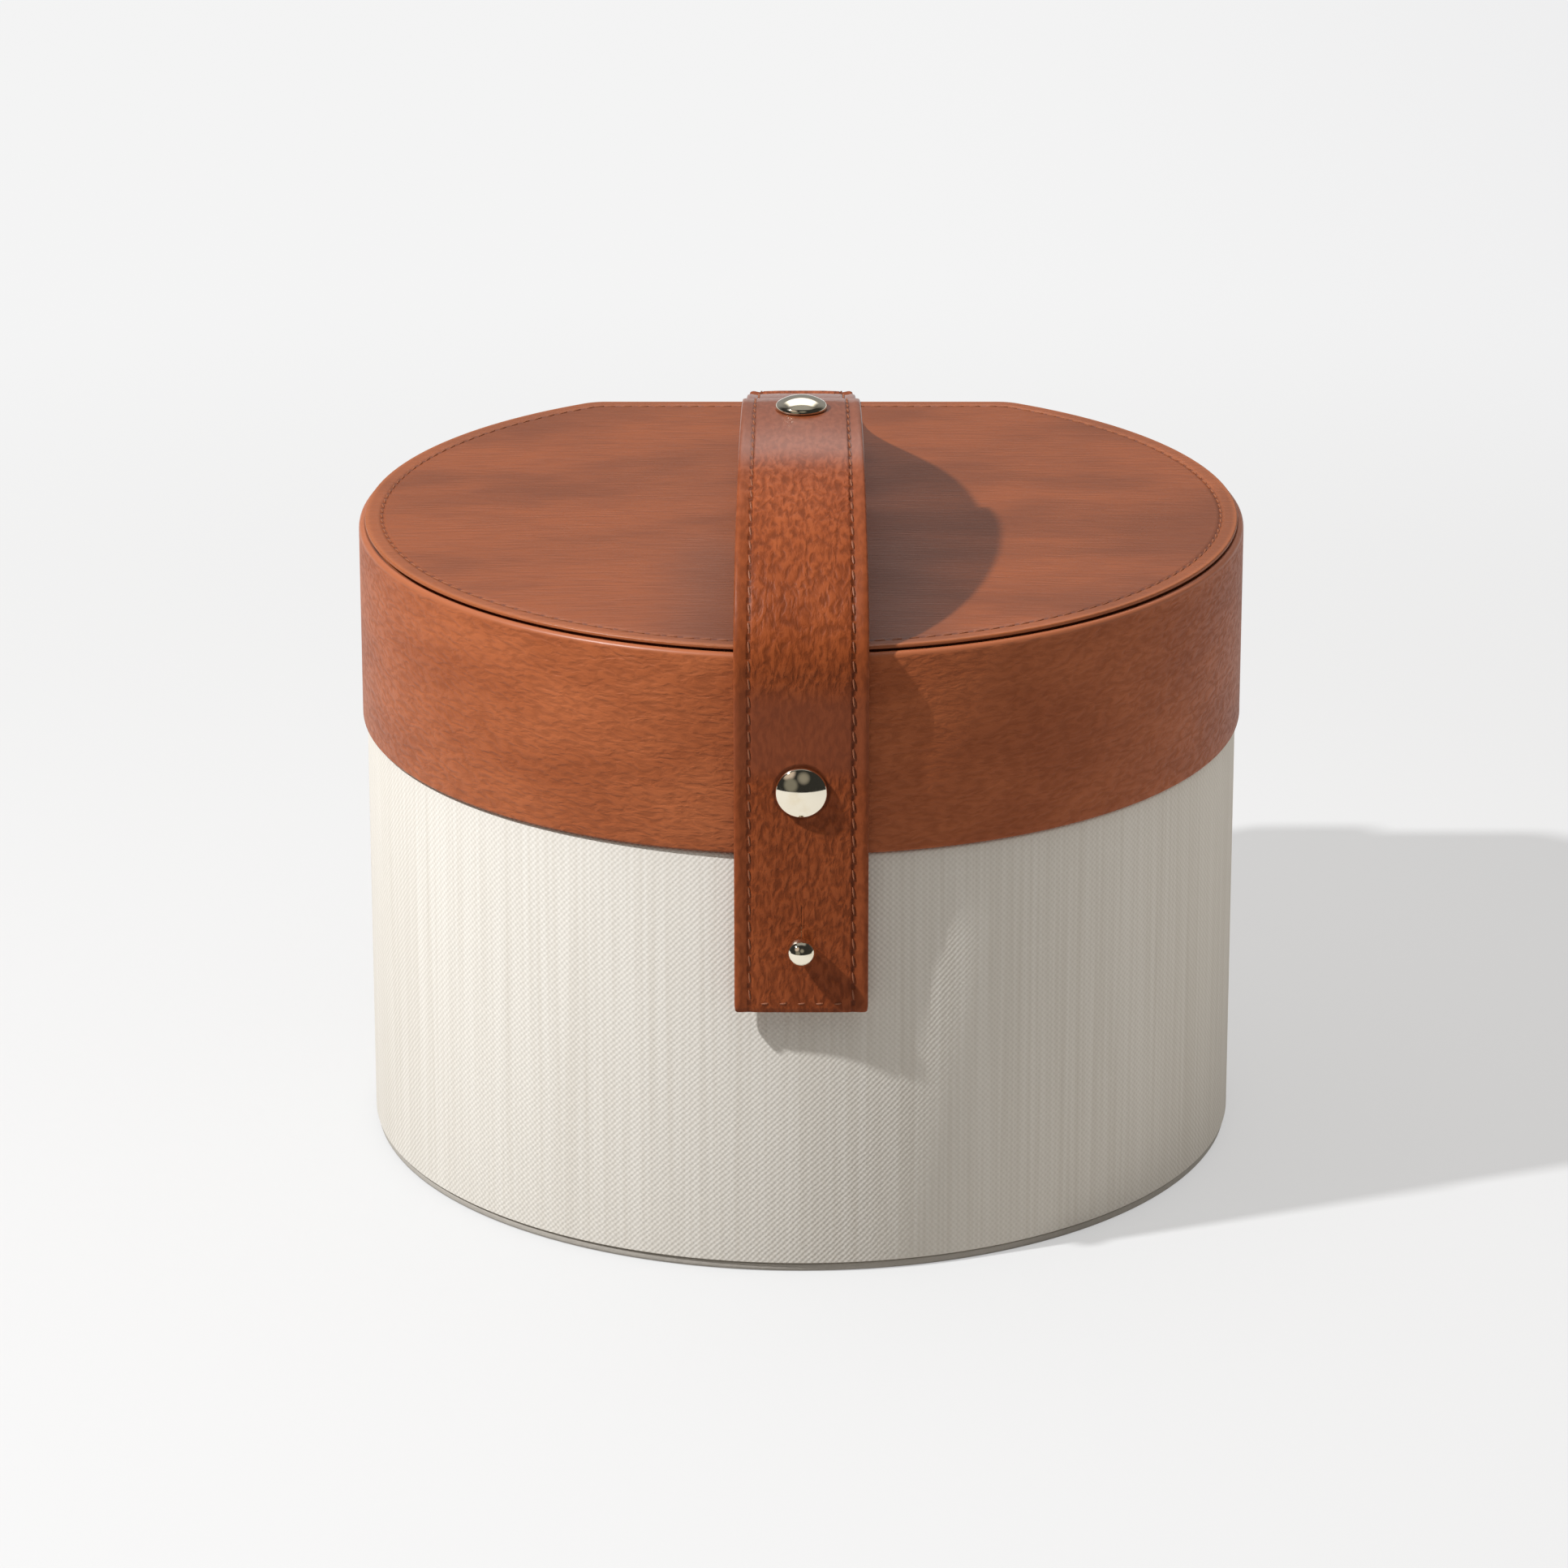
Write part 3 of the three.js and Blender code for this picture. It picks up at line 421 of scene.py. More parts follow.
# Floor pad
# A thin foam pad under suede cloth, pushed in on the floor board.
# It is a little full in the middle and rounded at its edge.
pad_edge, pad_core, pad_top = 10, 11.8, 9.2
pad = [(pad_core, pad_bottom), (pad_edge, pad_bottom), (pad_edge, pad_top - 0.2), (pad_core, pad_top)]
shape = wrap_round(pad, [(1, 0.5), (2, 1.2)], is_open=True)
close_middle(shape, pad_bottom)
close_middle(shape, pad_top, rise=0.4, rings=12)
floor_pad = finish_piece("suede_floor_pad", shape, suede, "base", "lining", "floor_pad")


# Leather band of the lid
# Waxed tan leather with a soft wrinkled grain that runs round the lid, wrapped over the lid's ring.
# Its top edge is rolled over and slopes down under the top panel, and its bottom edge is turned in.
grain_group, given, result = new_group("leather_grain", {"Place": "Vector"}, ("Height", "Crease", "Cloud"))
pulled = pull(grain_group, given["Place"], 0.30, 2.2)
ripples = noise(grain_group, pulled, 0.95, 2, 0.45)[0]
ridges = between(grain_group, ripples, 0.25, 0.70)
hollows = maths(grain_group, "SUBTRACT", 1, ridges)
folds = noise(grain_group, pulled, 0.4)[0]
pores = noise(grain_group, given["Place"], 6, 2, 0.6)[0]
height = add_up(grain_group, (ridges, 0.7), (folds, 0.5), (pores, 0.12))
grain_group.links.new(height, result["Height"])
grain_group.links.new(add_up(grain_group, (hollows, 0.9), (pores, 0.1)), result["Crease"])
grain_group.links.new(noise(grain_group, given["Place"], 0.07, 3, 0.6)[0], result["Cloud"])

# The dark brown of painted shade, used in the leather's creases, seam holes and dents.
leather_shade_brown = (0.115, 0.024, 0.006, 1)


def leather_tone(tree, grain, crease_share, middle, light):
    """The leather's colour: cloudy tan, darkened down in its creases by painted shade."""
    tone = mix(tree, between(tree, grain["Cloud"], 0.3, 0.7), middle, light)
    return mix(tree, times(tree, grain["Crease"], crease_share), tone, leather_shade_brown)


band_leather, tree = new_finish("wrinkled_tan_leather")
place = put(tree, "UVMap", uv_map="wrap")[0]
crease_length, crease_height = 2.8 * mm, 1.2 * mm
grain = put(tree, "Group", {"Place": stretch(tree, place, 1 / crease_length, 1 / crease_height, 0)},
            node_tree=grain_group)
bead_bottom, bead_top = 156.2 * mm, 157.2 * mm
bead = between(tree, put(tree, "SeparateXYZ", {0: place})[1], bead_bottom, bead_top)
# Painted shade darkens the band's grain down in its creases.
tone = leather_tone(tree, grain, 0.30, (0.352, 0.090, 0.0275, 1), (0.448, 0.125, 0.0420, 1))
coat(tree, {
    "Base Color": mix(tree, times(tree, bead, 0.8), tone, (0.400, 0.115, 0.040, 1)),
    "Roughness": between(tree, grain["Height"], 0.3, 1.2, 0.60, 0.46),
    "Specular IOR Level": 0.18,
    "Coat Weight": between(tree, bead, 0, 1, 0.03, 0.5),
    "Coat Roughness": 0.35,
    "Sheen Weight": 0.08,
    "Sheen Roughness": 0.45,
    "Normal": bump(tree, mix(tree, bead, grain["Height"], (0.75, 0.75, 0.75, 1)), 0.21 * mm),
})

band_bottom, band_top, band_thickness, ring_top = 108, 157.75, 1.3, 156.1
turned_edges = [(0, band_bottom), (0, band_top), (1.4, band_top), (2.2, 157.2), (2.2, ring_top),
                (band_thickness, ring_top), (band_thickness, 108.9), (4.2, 108.9), (4.2, band_bottom)]
shape = wrap_round(turned_edges, [(0, 0.7), (1, 1.2), (3, 0.1)])
lay_flat(shape)
finish_piece("lid_leather_band", shape, band_leather, "lid", "tan_leather", "leather_band")


# Top panel of the lid
# Smoother leather over a thin card with a little padding, sewn all round just inside its edge.
# It stands on a narrower foot inside the band's edge, so its lip hangs over a dark gap.
panel_inset, panel_lip, panel_top = 1.5, 158.3, 159.2
panel_foot_inset, panel_foot = 5.2, 156.45
panel_seam_inset = panel_inset + 4.2
stitch_pitch = 4.35 * mm
stitch_length = 2.7 * mm
thread_radius = 0.26 * mm
half_outline = corner_end + corner_x
stitches_each_side = round(half_outline / stitch_pitch)


def apart(tree, first, second):
    return maths(tree, "ABSOLUTE", maths(tree, "SUBTRACT", first, second))


def needle_holes(tree, stitches):
    """A mask of the needle holes where the thread goes in, from a count of stitches along the seam."""
    return between(tree, apart(tree, maths(tree, "FRACT", stitches), 0.5), 0.27, 0.42)


panel_leather, tree = new_finish("smooth_tan_leather")
place = put(tree, "TexCoord")["Object"]
hairline_length, hairline_width = 9 * mm, 1.1 * mm
grain = put(tree, "Group", {"Place": stretch(tree, place, 1 / hairline_length, 1 / hairline_width, 0)},
            node_tree=grain_group)
rubbed = noise(tree, stretch(tree, place, 14, 34, 1), 1, 3, 0.6)[0]
edge_along, edge_up = put(tree, "SeparateXYZ", {0: put(tree, "UVMap", uv_map="wrap")[0]})[0:2]
seam_up = (panel_top + panel_seam_inset) * mm
off_seam = apart(tree, edge_up, seam_up)
stitches = maths(tree, "DIVIDE", edge_along, half_outline / stitches_each_side)
on_seam = between(tree, off_seam, 0.3 * mm, 0.7 * mm, 1, 0)
# Painted shade darkens the needle holes along the seam.
seam_hole_shade = times(tree, needle_holes(tree, stitches), on_seam)
lip_up = (panel_top + panel_inset) * mm
# A painted highlight lightens the panel's lip, most at its outer edge and fading before the seam.
lip_highlight = between(tree, edge_up, lip_up + 0.4 * mm, lip_up + 1.6 * mm, 1, 0.35)
lip_highlight = times(tree, lip_highlight, between(tree, edge_up, seam_up - 0.6 * mm, seam_up, 1, 0))
aside, depth = put(tree, "SeparateXYZ", {0: place})[0:2]
# Painted shade and reflection of the strap darken a greyish patch of the panel under and beside its front
# half.
strap_shade_patch = times(tree, between(tree, maths(tree, "ABSOLUTE", aside), 20 * mm, 42 * mm, 1, 0),
                     between(tree, depth, -45 * mm, -10 * mm, 1, 0))
tone = mix(tree, between(tree, rubbed, 0.35, 0.70), (0.278, 0.066, 0.0138, 1), (0.184, 0.0440, 0.0100, 1))
tone = mix(tree, times(tree, strap_shade_patch, 0.6), tone, (0.150, 0.046, 0.020, 1))
# Painted shade darkens the fine hairline creases.
tone = mix(tree, times(tree, grain["Crease"], 0.27), tone, leather_shade_brown)
tone = mix(tree, times(tree, lip_highlight, 0.6), tone, (0.420, 0.125, 0.040, 1))
coat(tree, {
    "Base Color": mix(tree, times(tree, seam_hole_shade, 0.8), tone, leather_shade_brown),
    "Roughness": between(tree, rubbed, 0.3, 0.7, 0.36, 0.48),
    "Specular IOR Level": 0.34,
    "Normal": bump(tree, grain["Height"], 0.10 * mm),
})

panel_back, panel_middle, seam_depth = 156.2, panel_top + 0.1, 0.30
panel_edge = [(11.5, panel_back), (2.5, panel_back), (2.5, panel_foot), (panel_foot_inset, panel_foot),
              (panel_foot_inset, panel_lip), (panel_inset, panel_lip), (panel_inset, panel_top),
              (panel_seam_inset - 0.8, panel_top + 0.04), (panel_seam_inset, panel_top - seam_depth),
              (panel_seam_inset + 0.9, panel_top + 0.05), (11.0, panel_middle)]
panel_rounds = [(5, 0.2), (6, 0.45), (7, 0.35), (8, 0.25), (9, 0.35)]
shape = wrap_round(panel_edge, panel_rounds, is_open=True)
close_middle(shape, panel_back)
close_middle(shape, panel_middle, rise=0.6, rings=12)
lay_flat(shape)
finish_piece("lid_top_leather", shape, panel_leather, "lid", "tan_leather", "top_panel")

thread_finish, tree = new_finish("tan_thread")
place = put(tree, "TexCoord")["Object"]
twist = noise(tree, place, 2600)[0]
coat(tree, {
    "Base Color": mix(tree, twist, (0.21, 0.060, 0.021, 1), (0.33, 0.115, 0.050, 1)),
    "Roughness": between(tree, twist, 0.3, 0.7, 0.5, 0.7),
    "Normal": bump(tree, twist, 0.08 * mm),
})


def outline_point(along, inset):
    """The point at that distance along the outline from the front's middle, and the way out from there."""
    side = math.copysign(1, along)
    rest = abs(along)
    if rest <= round_length:
        turn = rest / plan_radius
        out = Vector((math.sin(turn), -math.cos(turn), 0))
        point = out * (plan_radius - inset)
    elif rest <= corner_end:
        turn = corner_turn - (rest - round_length) / corner_radius
        out = Vector((math.sin(turn), math.cos(turn), 0))
        point = Vector((corner_x, corner_y, 0)) + out * (corner_radius - inset)
    else:
        out = Vector((0, 1, 0))
        point = Vector((half_outline - rest, back_y - inset, 0))
    mirrored = Matrix.Diagonal((side, 1, 1))
    return mirrored @ point, mirrored @ out


def sew_stitch(bm, place, run, up, length=stitch_length):
    """One stitch of thread that lies along the seam and dips into the leather at both ends."""
    side = up.cross(run)
    slant = Matrix.Rotation(math.radians(7), 3, up)
    columns = Matrix((side * thread_radius, up * thread_radius, run * (length / 2))).transposed()
    lie = Matrix.Translation(place) @ (slant @ columns).to_4x4()
    bmesh.ops.create_uvsphere(bm, u_segments=6, v_segments=6, radius=1, matrix=lie)


shape = bmesh.new()
for side in (-1, 1):
    for count in range(stitches_each_side):
        along = side * (count + 0.5) * half_outline / stitches_each_side
        point, out = outline_point(along, panel_seam_inset * mm)
        point.z = (panel_top - 0.14) * mm
        sew_stitch(shape, point, out.cross(Vector((0, 0, 1))), Vector((0, 0, 1)))
finish_piece("lid_top_stitches", shape, thread_finish, "lid", "tan_leather")


# Mirror and its padded frame
# A round bevelled mirror set in a thin padded suede frame, glued on the lid's ceiling.
# They are seen only when the lid is open.
silvered_glass, tree = new_finish("silvered_glass")
place = put(tree, "TexCoord")["Object"]
haze = noise(tree, place, 25, 3)[0]
coat(tree, {
    "Base Color": (0.90, 0.92, 0.93, 1),
    "Metallic": 1.0,
    "Roughness": between(tree, haze, 0.4, 0.8, 0.01, 0.05),
})

mirror_low, mirror_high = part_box("lid_mirror")
mirror_centre = (mirror_low + mirror_high) / 2
glass_edge = (mirror_high.x - mirror_low.x) / 2 / mm
glass_thickness = (mirror_high.z - mirror_low.z) / mm


def turn_on_axis(outline, place, rounds=(), steps=64):
    """Turn an outline of (radius, height) corners in millimetres about the axis and put it in its place."""
    bm = bmesh.new()
    draw_outline(bm, [(radius * mm, 0, height * mm) for radius, height in outline], rounds)
    on_axis = [edge for edge in bm.edges if max(vert.co.x for vert in edge.verts) < 0.001 * mm]
    bmesh.ops.delete(bm, geom=on_axis, context="EDGES")
    profile = bm.verts[:] + bm.edges[:]
    bmesh.ops.spin(bm, geom=profile, axis=(0, 0, 1), angle=math.tau, steps=steps, use_merge=True)
    bmesh.ops.remove_doubles(bm, verts=bm.verts[:], dist=0.002 * mm)
    bmesh.ops.dissolve_degenerate(bm, dist=0.002 * mm, edges=bm.edges[:])
    face_outward(bm)
    bmesh.ops.transform(bm, matrix=place, verts=bm.verts[:])
    return bm


glass = [(0, 0), (glass_edge - 6, 0), (glass_edge, 0.6), (glass_edge, glass_thickness), (0, glass_thickness)]
glass_place = Matrix.Translation((mirror_centre.x, mirror_centre.y, mirror_low.z))
shape = turn_on_axis(glass, glass_place, steps=128)
finish_piece("round_mirror", shape, silvered_glass, "lid", "mirror", "lid_mirror")

frame_hole = (glass_edge + 0.3) * mm
frame_inset, frame_core, frame_face, frame_at_glass, frame_swell = 5.4, 9.4, 150.4, 151.6, 1.1
frame_edge = [(frame_core, lid_ceiling), (frame_inset, lid_ceiling), (frame_inset, frame_face + 1),
              (frame_core, frame_face)]
shape = wrap_round(frame_edge, [(2, 0.9)], is_open=True)
for rim_height, hole_height in ((lid_ceiling, lid_ceiling), (frame_face, frame_at_glass)):
    outer = open_rim(shape, rim_height)
    hole_middle = Matrix.Translation((0, mirror_centre.y, hole_height * mm))
    circle = bmesh.ops.create_circle(shape, segments=len(outer), radius=frame_hole, matrix=hole_middle)
    ring = circle["verts"]
    inner = [edge for edge in shape.edges if edge.verts[0] in ring and edge.verts[1] in ring]
    spokes = bmesh.ops.bridge_loops(shape, edges=outer + inner)["edges"]
    if rim_height != hole_height:
        bridged = [edge for edge in spokes if len({vert in ring for vert in edge.verts}) == 2]
        split = bmesh.ops.subdivide_edges(shape, edges=bridged, cuts=5, use_grid_fill=True)["geom_inner"]
        for vert in (item for item in split if isinstance(item, bmesh.types.BMVert)):
            share = (vert.co.z / mm - rim_height) / (hole_height - rim_height)
            vert.co.z -= frame_swell * mm * math.sin(math.pi * share) ** 0.6 * share ** 0.5
inner_rims = open_rim(shape, lid_ceiling) + open_rim(shape, frame_at_glass)
bmesh.ops.bridge_loops(shape, edges=inner_rims)
face_outward(shape)
mirror_frame = finish_piece("padded_mirror_frame", shape, suede, "lid", "lining", "mirror_frame")


# Handle strap and closing tab
# Two layers of the same leather glued edge to edge and sewn near both sides, with a smooth rolled border.
# The front half runs from the tab over the lid to the crown, and the rear half is lapped under it there.
strap_leather, tree = new_finish("strap_tan_leather")
strap_layers = ("across", "along", "stitches")
across, along, stitches = (put(tree, "Attribute", attribute_name=name)["Fac"] for name in strap_layers)
strap_crease_length, strap_crease_width = 2.4 * mm, 1.15 * mm
place = put(tree, "CombineXYZ", {"X": across, "Y": along})[0]
place = stretch(tree, place, 1 / strap_crease_width, 1 / strap_crease_length, 0)
grain = put(tree, "Group", {"Place": place}, node_tree=grain_group)
off_middle = maths(tree, "ABSOLUTE", across)
seam_across = 12.3 * mm
border = between(tree, off_middle, seam_across + 0.1 * mm, seam_across + 0.9 * mm)
# Painted shade darkens the seam's groove a little and its needle holes more.
on_seam = between(tree, apart(tree, off_middle, seam_across), 0.25 * mm, 0.75 * mm, 1, 0)
seam_hole_shade = times(tree, on_seam, between(tree, needle_holes(tree, stitches), 0, 1, 0.3, 0.95))
# A stretch just above the front rivet is smoother and a darker purple brown.
above_rivet_stretch = times(tree, between(tree, along, 57 * mm, 63 * mm), between(tree, along, 76 * mm, 84 * mm, 1, 0))
handled = between(tree, along, 138 * mm, 160 * mm)
handled = times(tree, handled, between(tree, along, 235 * mm, 265 * mm, 1, 0))
rivet_along = 56 * mm
to_rivet = put(tree, "CombineXYZ", {"X": across, "Y": maths(tree, "SUBTRACT", along, rivet_along)})[0]
to_rivet = put(tree, "VectorMath", {0: to_rivet}, operation="LENGTH")["Value"]
# A ring round the front rivet, pressed into the leather and darkened with painted shade.
rivet_seat_shade = between(tree, to_rivet, 6.4 * mm, 7.1 * mm, 1, 0)
worn = maths(tree, "MAXIMUM", above_rivet_stretch, handled)
smooth = maths(tree, "MAXIMUM", times(tree, border, 0.7), times(tree, worn, 0.8))
# Painted shade darkens the creases.
tone = leather_tone(tree, grain, 0.74, (0.266, 0.056, 0.0132, 1), (0.342, 0.079, 0.0210, 1))
# The ridge tops are lighter: the pull-up leather's paler wax there, and a painted highlight.
tone = mix(tree, between(tree, grain["Height"], 0.70, 1.10, 0, 0.15), tone, (0.400, 0.118, 0.043, 1))
tone = mix(tree, times(tree, handled, 0.6), tone, (0.190, 0.048, 0.017, 1))
tone = mix(tree, times(tree, above_rivet_stretch, 0.6), tone, (0.205, 0.056, 0.026, 1))
tone = mix(tree, times(tree, border, 0.45), tone, (0.235, 0.057, 0.017, 1))
# The seam, its holes and the rivet's ring are pressed in, and painted shade darkens them.
dents_and_shade = maths(tree, "MAXIMUM", seam_hole_shade, times(tree, rivet_seat_shade, 0.85))
tone = mix(tree, dents_and_shade, tone, leather_shade_brown)
relief = mix(tree, smooth, grain["Height"], (0.75, 0.75, 0.75, 1))
relief = maths(tree, "SUBTRACT", relief, times(tree, dents_and_shade, 0.6))
coat(tree, {
    "Base Color": tone,
    "Roughness": between(tree, grain["Height"], 0.3, 1.2, 0.56, 0.42),
    "Specular IOR Level": 0.13,
    "Coat Weight": between(tree, handled, 0, 1, 0.03, 0.8),
    "Coat Roughness": 0.28,
    "Normal": bump(tree, relief, 0.22 * mm),
})

strap_half_width, strap_half_thickness = 15.9, 1.3
strap_end_round = 0.8 * mm
seam_from_end = 2.5 * mm
stitch_height = 1.12 * mm
half_section = [(0, 1.42), (7, 1.40), (11.7, 1.26), (12.3, 0.96), (12.9, 1.02), (15.0, 1.38),
                (strap_half_width, 0.95), (strap_half_width, -strap_half_thickness)]
half_rounds = {2: 0.3, 3: 0.25, 4: 0.3, 5: 0.6, 6: 0.7, 7: 0.7}


def lay_strap(*runs):
    """Length, point, direction and way out at each step along straight and curved runs of (y, z) points."""
    path = []
    for run in runs:
        ends = [Vector((0, y * mm, z * mm)) for y, z in run]
        if len(ends) == 2:
            steps = max(2, round((ends[1] - ends[0]).length / (1.5 * mm)))
            points = [ends[0].lerp(ends[1], count / steps) for count in range(steps + 1)]
        else:
            if len(ends) == 3:
                ends = [ends[0], ends[0].lerp(ends[1], 2 / 3), ends[2].lerp(ends[1], 2 / 3), ends[2]]
            points = interpolate_bezier(*ends, 48)
        path += points[1:] if path else points
    stations = []
    length = 0.0
    for count, point in enumerate(path):
        before = path[max(count - 1, 0)]
        after = path[min(count + 1, len(path) - 1)]
        run = (after - before).normalized()
        out = Vector((1, 0, 0)).cross(run)
        length += (point - before).length
        stations.append((length, point, run, out))
    return stations


def space_stitches(stations):
    """How many stitches a strap has along each side, and how far apart they lie."""
    seam_length = stations[-1][0] - 2 * seam_from_end
    count = round(seam_length / stitch_pitch)
    return count, seam_length / count


def pared(from_end, paring):
    """The share of its thickness that a strap keeps near an end that is pared down over some length."""
    return 1 - 0.55 * max(0.0, 1 - from_end / paring) if paring else 1.0


def sweep_strap(bm, stations, width_at, start=0.0, paring=0.0):
    """Carry the strap's section along its path, with both ends rounded off and the far one pared down."""
    across, along, stitches = (bm.verts.layers.float.new(name) for name in strap_layers)
    stitch_step = space_stitches(stations)[1]
    corners = half_section + [(-x, out) for x, out in half_section[:0:-1]]
    points = [bm.verts.new((x * mm, out * mm, 0)) for x, out in corners]
    bm.faces.new(points)
    for index, radius in half_rounds.items():
        round_off(bm, [points[index], points[-index]], radius, segments=3)
    bmesh.ops.delete(bm, geom=bm.faces[:], context="FACES_ONLY")
    for vert in bm.verts:
        vert[across] = vert.co.x
    first, last = stations[0], stations[-1]
    total = last[0]
    places = [place for place in stations if strap_end_round < place[0] < total - strap_end_round]
    places += [first, last]
    for share in (0.12, 0.4):
        reach = strap_end_round * share
        places.append((reach, first[1] + first[2] * reach, *first[2:]))
        places.append((total - reach, last[1] - last[2] * reach, *last[2:]))
    places.sort(key=lambda place: place[0])
    ring = bm.edges[:]
    fresh = bm.verts[:]
    before = Matrix.Identity(4)
    for count, (length, point, run, out) in enumerate(places):
        short = strap_end_round - min(length, total - length, strap_end_round)
        inward = strap_end_round - math.sqrt(strap_end_round ** 2 - short ** 2)
        wide = (width_at(point) / 2 - inward) / (strap_half_width * mm)
        thick = (1 - inward / (strap_half_thickness * mm)) * pared(total - length, paring)
        columns = Matrix((Vector((wide, 0, 0)), out * thick, run)).transposed().to_4x4()
        now = Matrix.Translation(point) @ columns
        if count:
            fresh, ring = extrude_rim(bm, ring)
        else:
            bmesh.ops.edgeloop_fill(bm, edges=ring)
        bmesh.ops.transform(bm, matrix=now @ before.inverted(), verts=fresh)
        for vert in fresh:
            vert[along] = start + length
            vert[stitches] = (length - seam_from_end) / stitch_step
        before = now
    bmesh.ops.edgeloop_fill(bm, edges=ring)
    face_outward(bm)


def sew_strap(bm, stations, width_at, paring=0.0):
    """Stitches along both sides of a strap, from near one end to near the other."""
    count, stitch_step = space_stitches(stations)
    for number in range(count):
        wanted = seam_from_end + (number + 0.5) * stitch_step
        length, point, run, out = min(stations, key=lambda station: abs(station[0] - wanted))
        point = point + run * (wanted - length)
        seam = seam_across * width_at(point) / (2 * strap_half_width * mm)
        surface = out * stitch_height * pared(stations[-1][0] - wanted, paring)
        for side in (-1, 1):
            sew_stitch(bm, point + Vector((side * seam, 0, 0)) + surface, run, out)


def at(x, y, z):
    """The placing at a point in millimetres."""
    return Matrix.Translation((x * mm, y * mm, z * mm))


def carve(bm, tool, operation):
    """Cut a tool's shape out of a shape, or join it on, and return the new shape."""
    halves = [make_object("work", bm), make_object("tool", tool)]
    cutter = halves[0].modifiers.new("carve", "BOOLEAN")
    cutter.operation = operation
    cutter.solver = "EXACT"
    cutter.object = halves[1]
    carved = bmesh.new()
    carved.from_object(halves[0], bpy.context.evaluated_depsgraph_get())
    for half in halves:
        mesh = half.data
        bpy.data.objects.remove(half)
        bpy.data.meshes.remove(mesh)
    return carved


strap_y, tab_end, lift_off = -111.6, 69, 154
crown_y, crown_z, front_end_y = -35, 194.2, -18
tab_width, front_end_width = 31.8, 28.6
front_stations = lay_strap(
    [(strap_y, tab_end), (strap_y, lift_off)],
    [(strap_y, lift_off), (strap_y, 176), (-72, crown_z), (crown_y, crown_z)],
    [(crown_y, crown_z), (-26.5, crown_z), (front_end_y, 192.6)],
)
front_paring = 10 * mm


def front_width(point):
    """The front half tapers from the tab's width to its narrower end behind the crown."""
    share = (point.y / mm - strap_y) / (front_end_y - strap_y)
    return (tab_width + (front_end_width - tab_width) * share) * mm


def make_block(low, high):
    """A block between two corners in millimetres."""
    low, high = Vector(low) * mm, Vector(high) * mm
    block = bmesh.new()
    size = Matrix.Diagonal((*(high - low), 1))
    bmesh.ops.create_cube(block, size=1, matrix=Matrix.Translation((low + high) / 2) @ size)
    return block


shape = bmesh.new()
sweep_strap(shape, front_stations, front_width, paring=front_paring)
stud_height, keyhole_radius, keyhole_slit, half_slit = 86, 2.5, 8, 0.06
through_tab = at(0, strap_y, stud_height) @ Matrix.Rotation(math.pi / 2, 4, "X")
keyhole = bmesh.new()
bmesh.ops.create_cone(keyhole, cap_ends=True, segments=40, radius1=keyhole_radius * mm,
                      radius2=keyhole_radius * mm, depth=6 * mm, matrix=through_tab)
shape = carve(shape, keyhole, "DIFFERENCE")
slit_top = stud_height + keyhole_radius + keyhole_slit
slit = make_block((-half_slit, strap_y - 3, stud_height), (half_slit, strap_y + 3, slit_top))
shape = carve(shape, slit, "DIFFERENCE")
across, along = shape.verts.layers.float["across"], shape.verts.layers.float["along"]
above_slit = 100 * mm
for vert in shape.verts:
    if vert.co.z < above_slit:
        vert[across] = vert.co.x
        vert[along] = vert.co.z - tab_end * mm
front_strap = finish_piece("strap_front_and_tab", shape, strap_leather, None, "tan_leather",
                           "handle_strap_front", "strap_tab")

shape = bmesh.new()
sew_strap(shape, front_stations, front_width, front_paring)
end_stitches = 5
end_stitch_length = 1.8 * mm
for number in range(end_stitches):
    aside = (number + 0.5 - end_stitches / 2) * stitch_pitch
    end_point = Vector((aside, (strap_y - 1.36) * mm, tab_end * mm + seam_from_end))
    sew_stitch(shape, end_point, Vector((1, 0, 0)), Vector((0, -1, 0)), end_stitch_length)
front_stitches = finish_piece("strap_front_stitches", shape, thread_finish, None, "tan_leather")

bend_start = (0, strap_y * mm, 118.4 * mm)
bend_end = (0, strap_y * mm, 110.0 * mm)
for piece in (front_strap, front_stitches):
    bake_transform(piece, "lid", "tab", start=bend_start, end=bend_end)

rear_width, lapped_z, on_lid_z, on_back_y = 27.0, 191.3, 160.7, 97.1
rear_stations = lay_strap(
    [(-48.7, 190.45), (-41.85, lapped_z), (crown_y, lapped_z)],
    [(crown_y, lapped_z), (25, lapped_z), (45, on_lid_z), (80, on_lid_z)],
    [(80, on_lid_z), (93.2, on_lid_z)],
    [(93.2, on_lid_z), (95.35, on_lid_z), (on_back_y, 158.95), (on_back_y, 156.8)],
    [(on_back_y, 156.8), (on_back_y, 113)],
)
lap = 32 * mm
shape = bmesh.new()
sweep_strap(shape, rear_stations, lambda point: rear_width * mm, front_stations[-1][0] - lap)
finish_piece("strap_rear", shape, strap_leather, "lid", "tan_leather", "handle_strap_back")
shape = bmesh.new()
sew_strap(shape, rear_stations, lambda point: rear_width * mm)
finish_piece("strap_rear_stitches", shape, thread_finish, "lid", "tan_leather")


# Cap rivets
# Domed caps of polished pale gold plate, each pressed on a post that comes through leather and board.
# One holds the front half of the strap, one joins both halves at the crown and one holds the rear half.
wear, given, result = new_group("plate_handling", {"Place": "Vector"}, ("Rough", "Tarnish", "Scuff"))
smears = noise(wear, given["Place"], 160, 3, 0.6)[0]
scratches = noise(wear, stretch(wear, given["Place"], 500, 4500, 900), 1)[0]
wear.links.new(between(wear, smears, 0.35, 0.75, 0.04, 0.11), result["Rough"])
wear.links.new(between(wear, smears, 0.50, 0.80), result["Tarnish"])
wear.links.new(scratches, result["Scuff"])

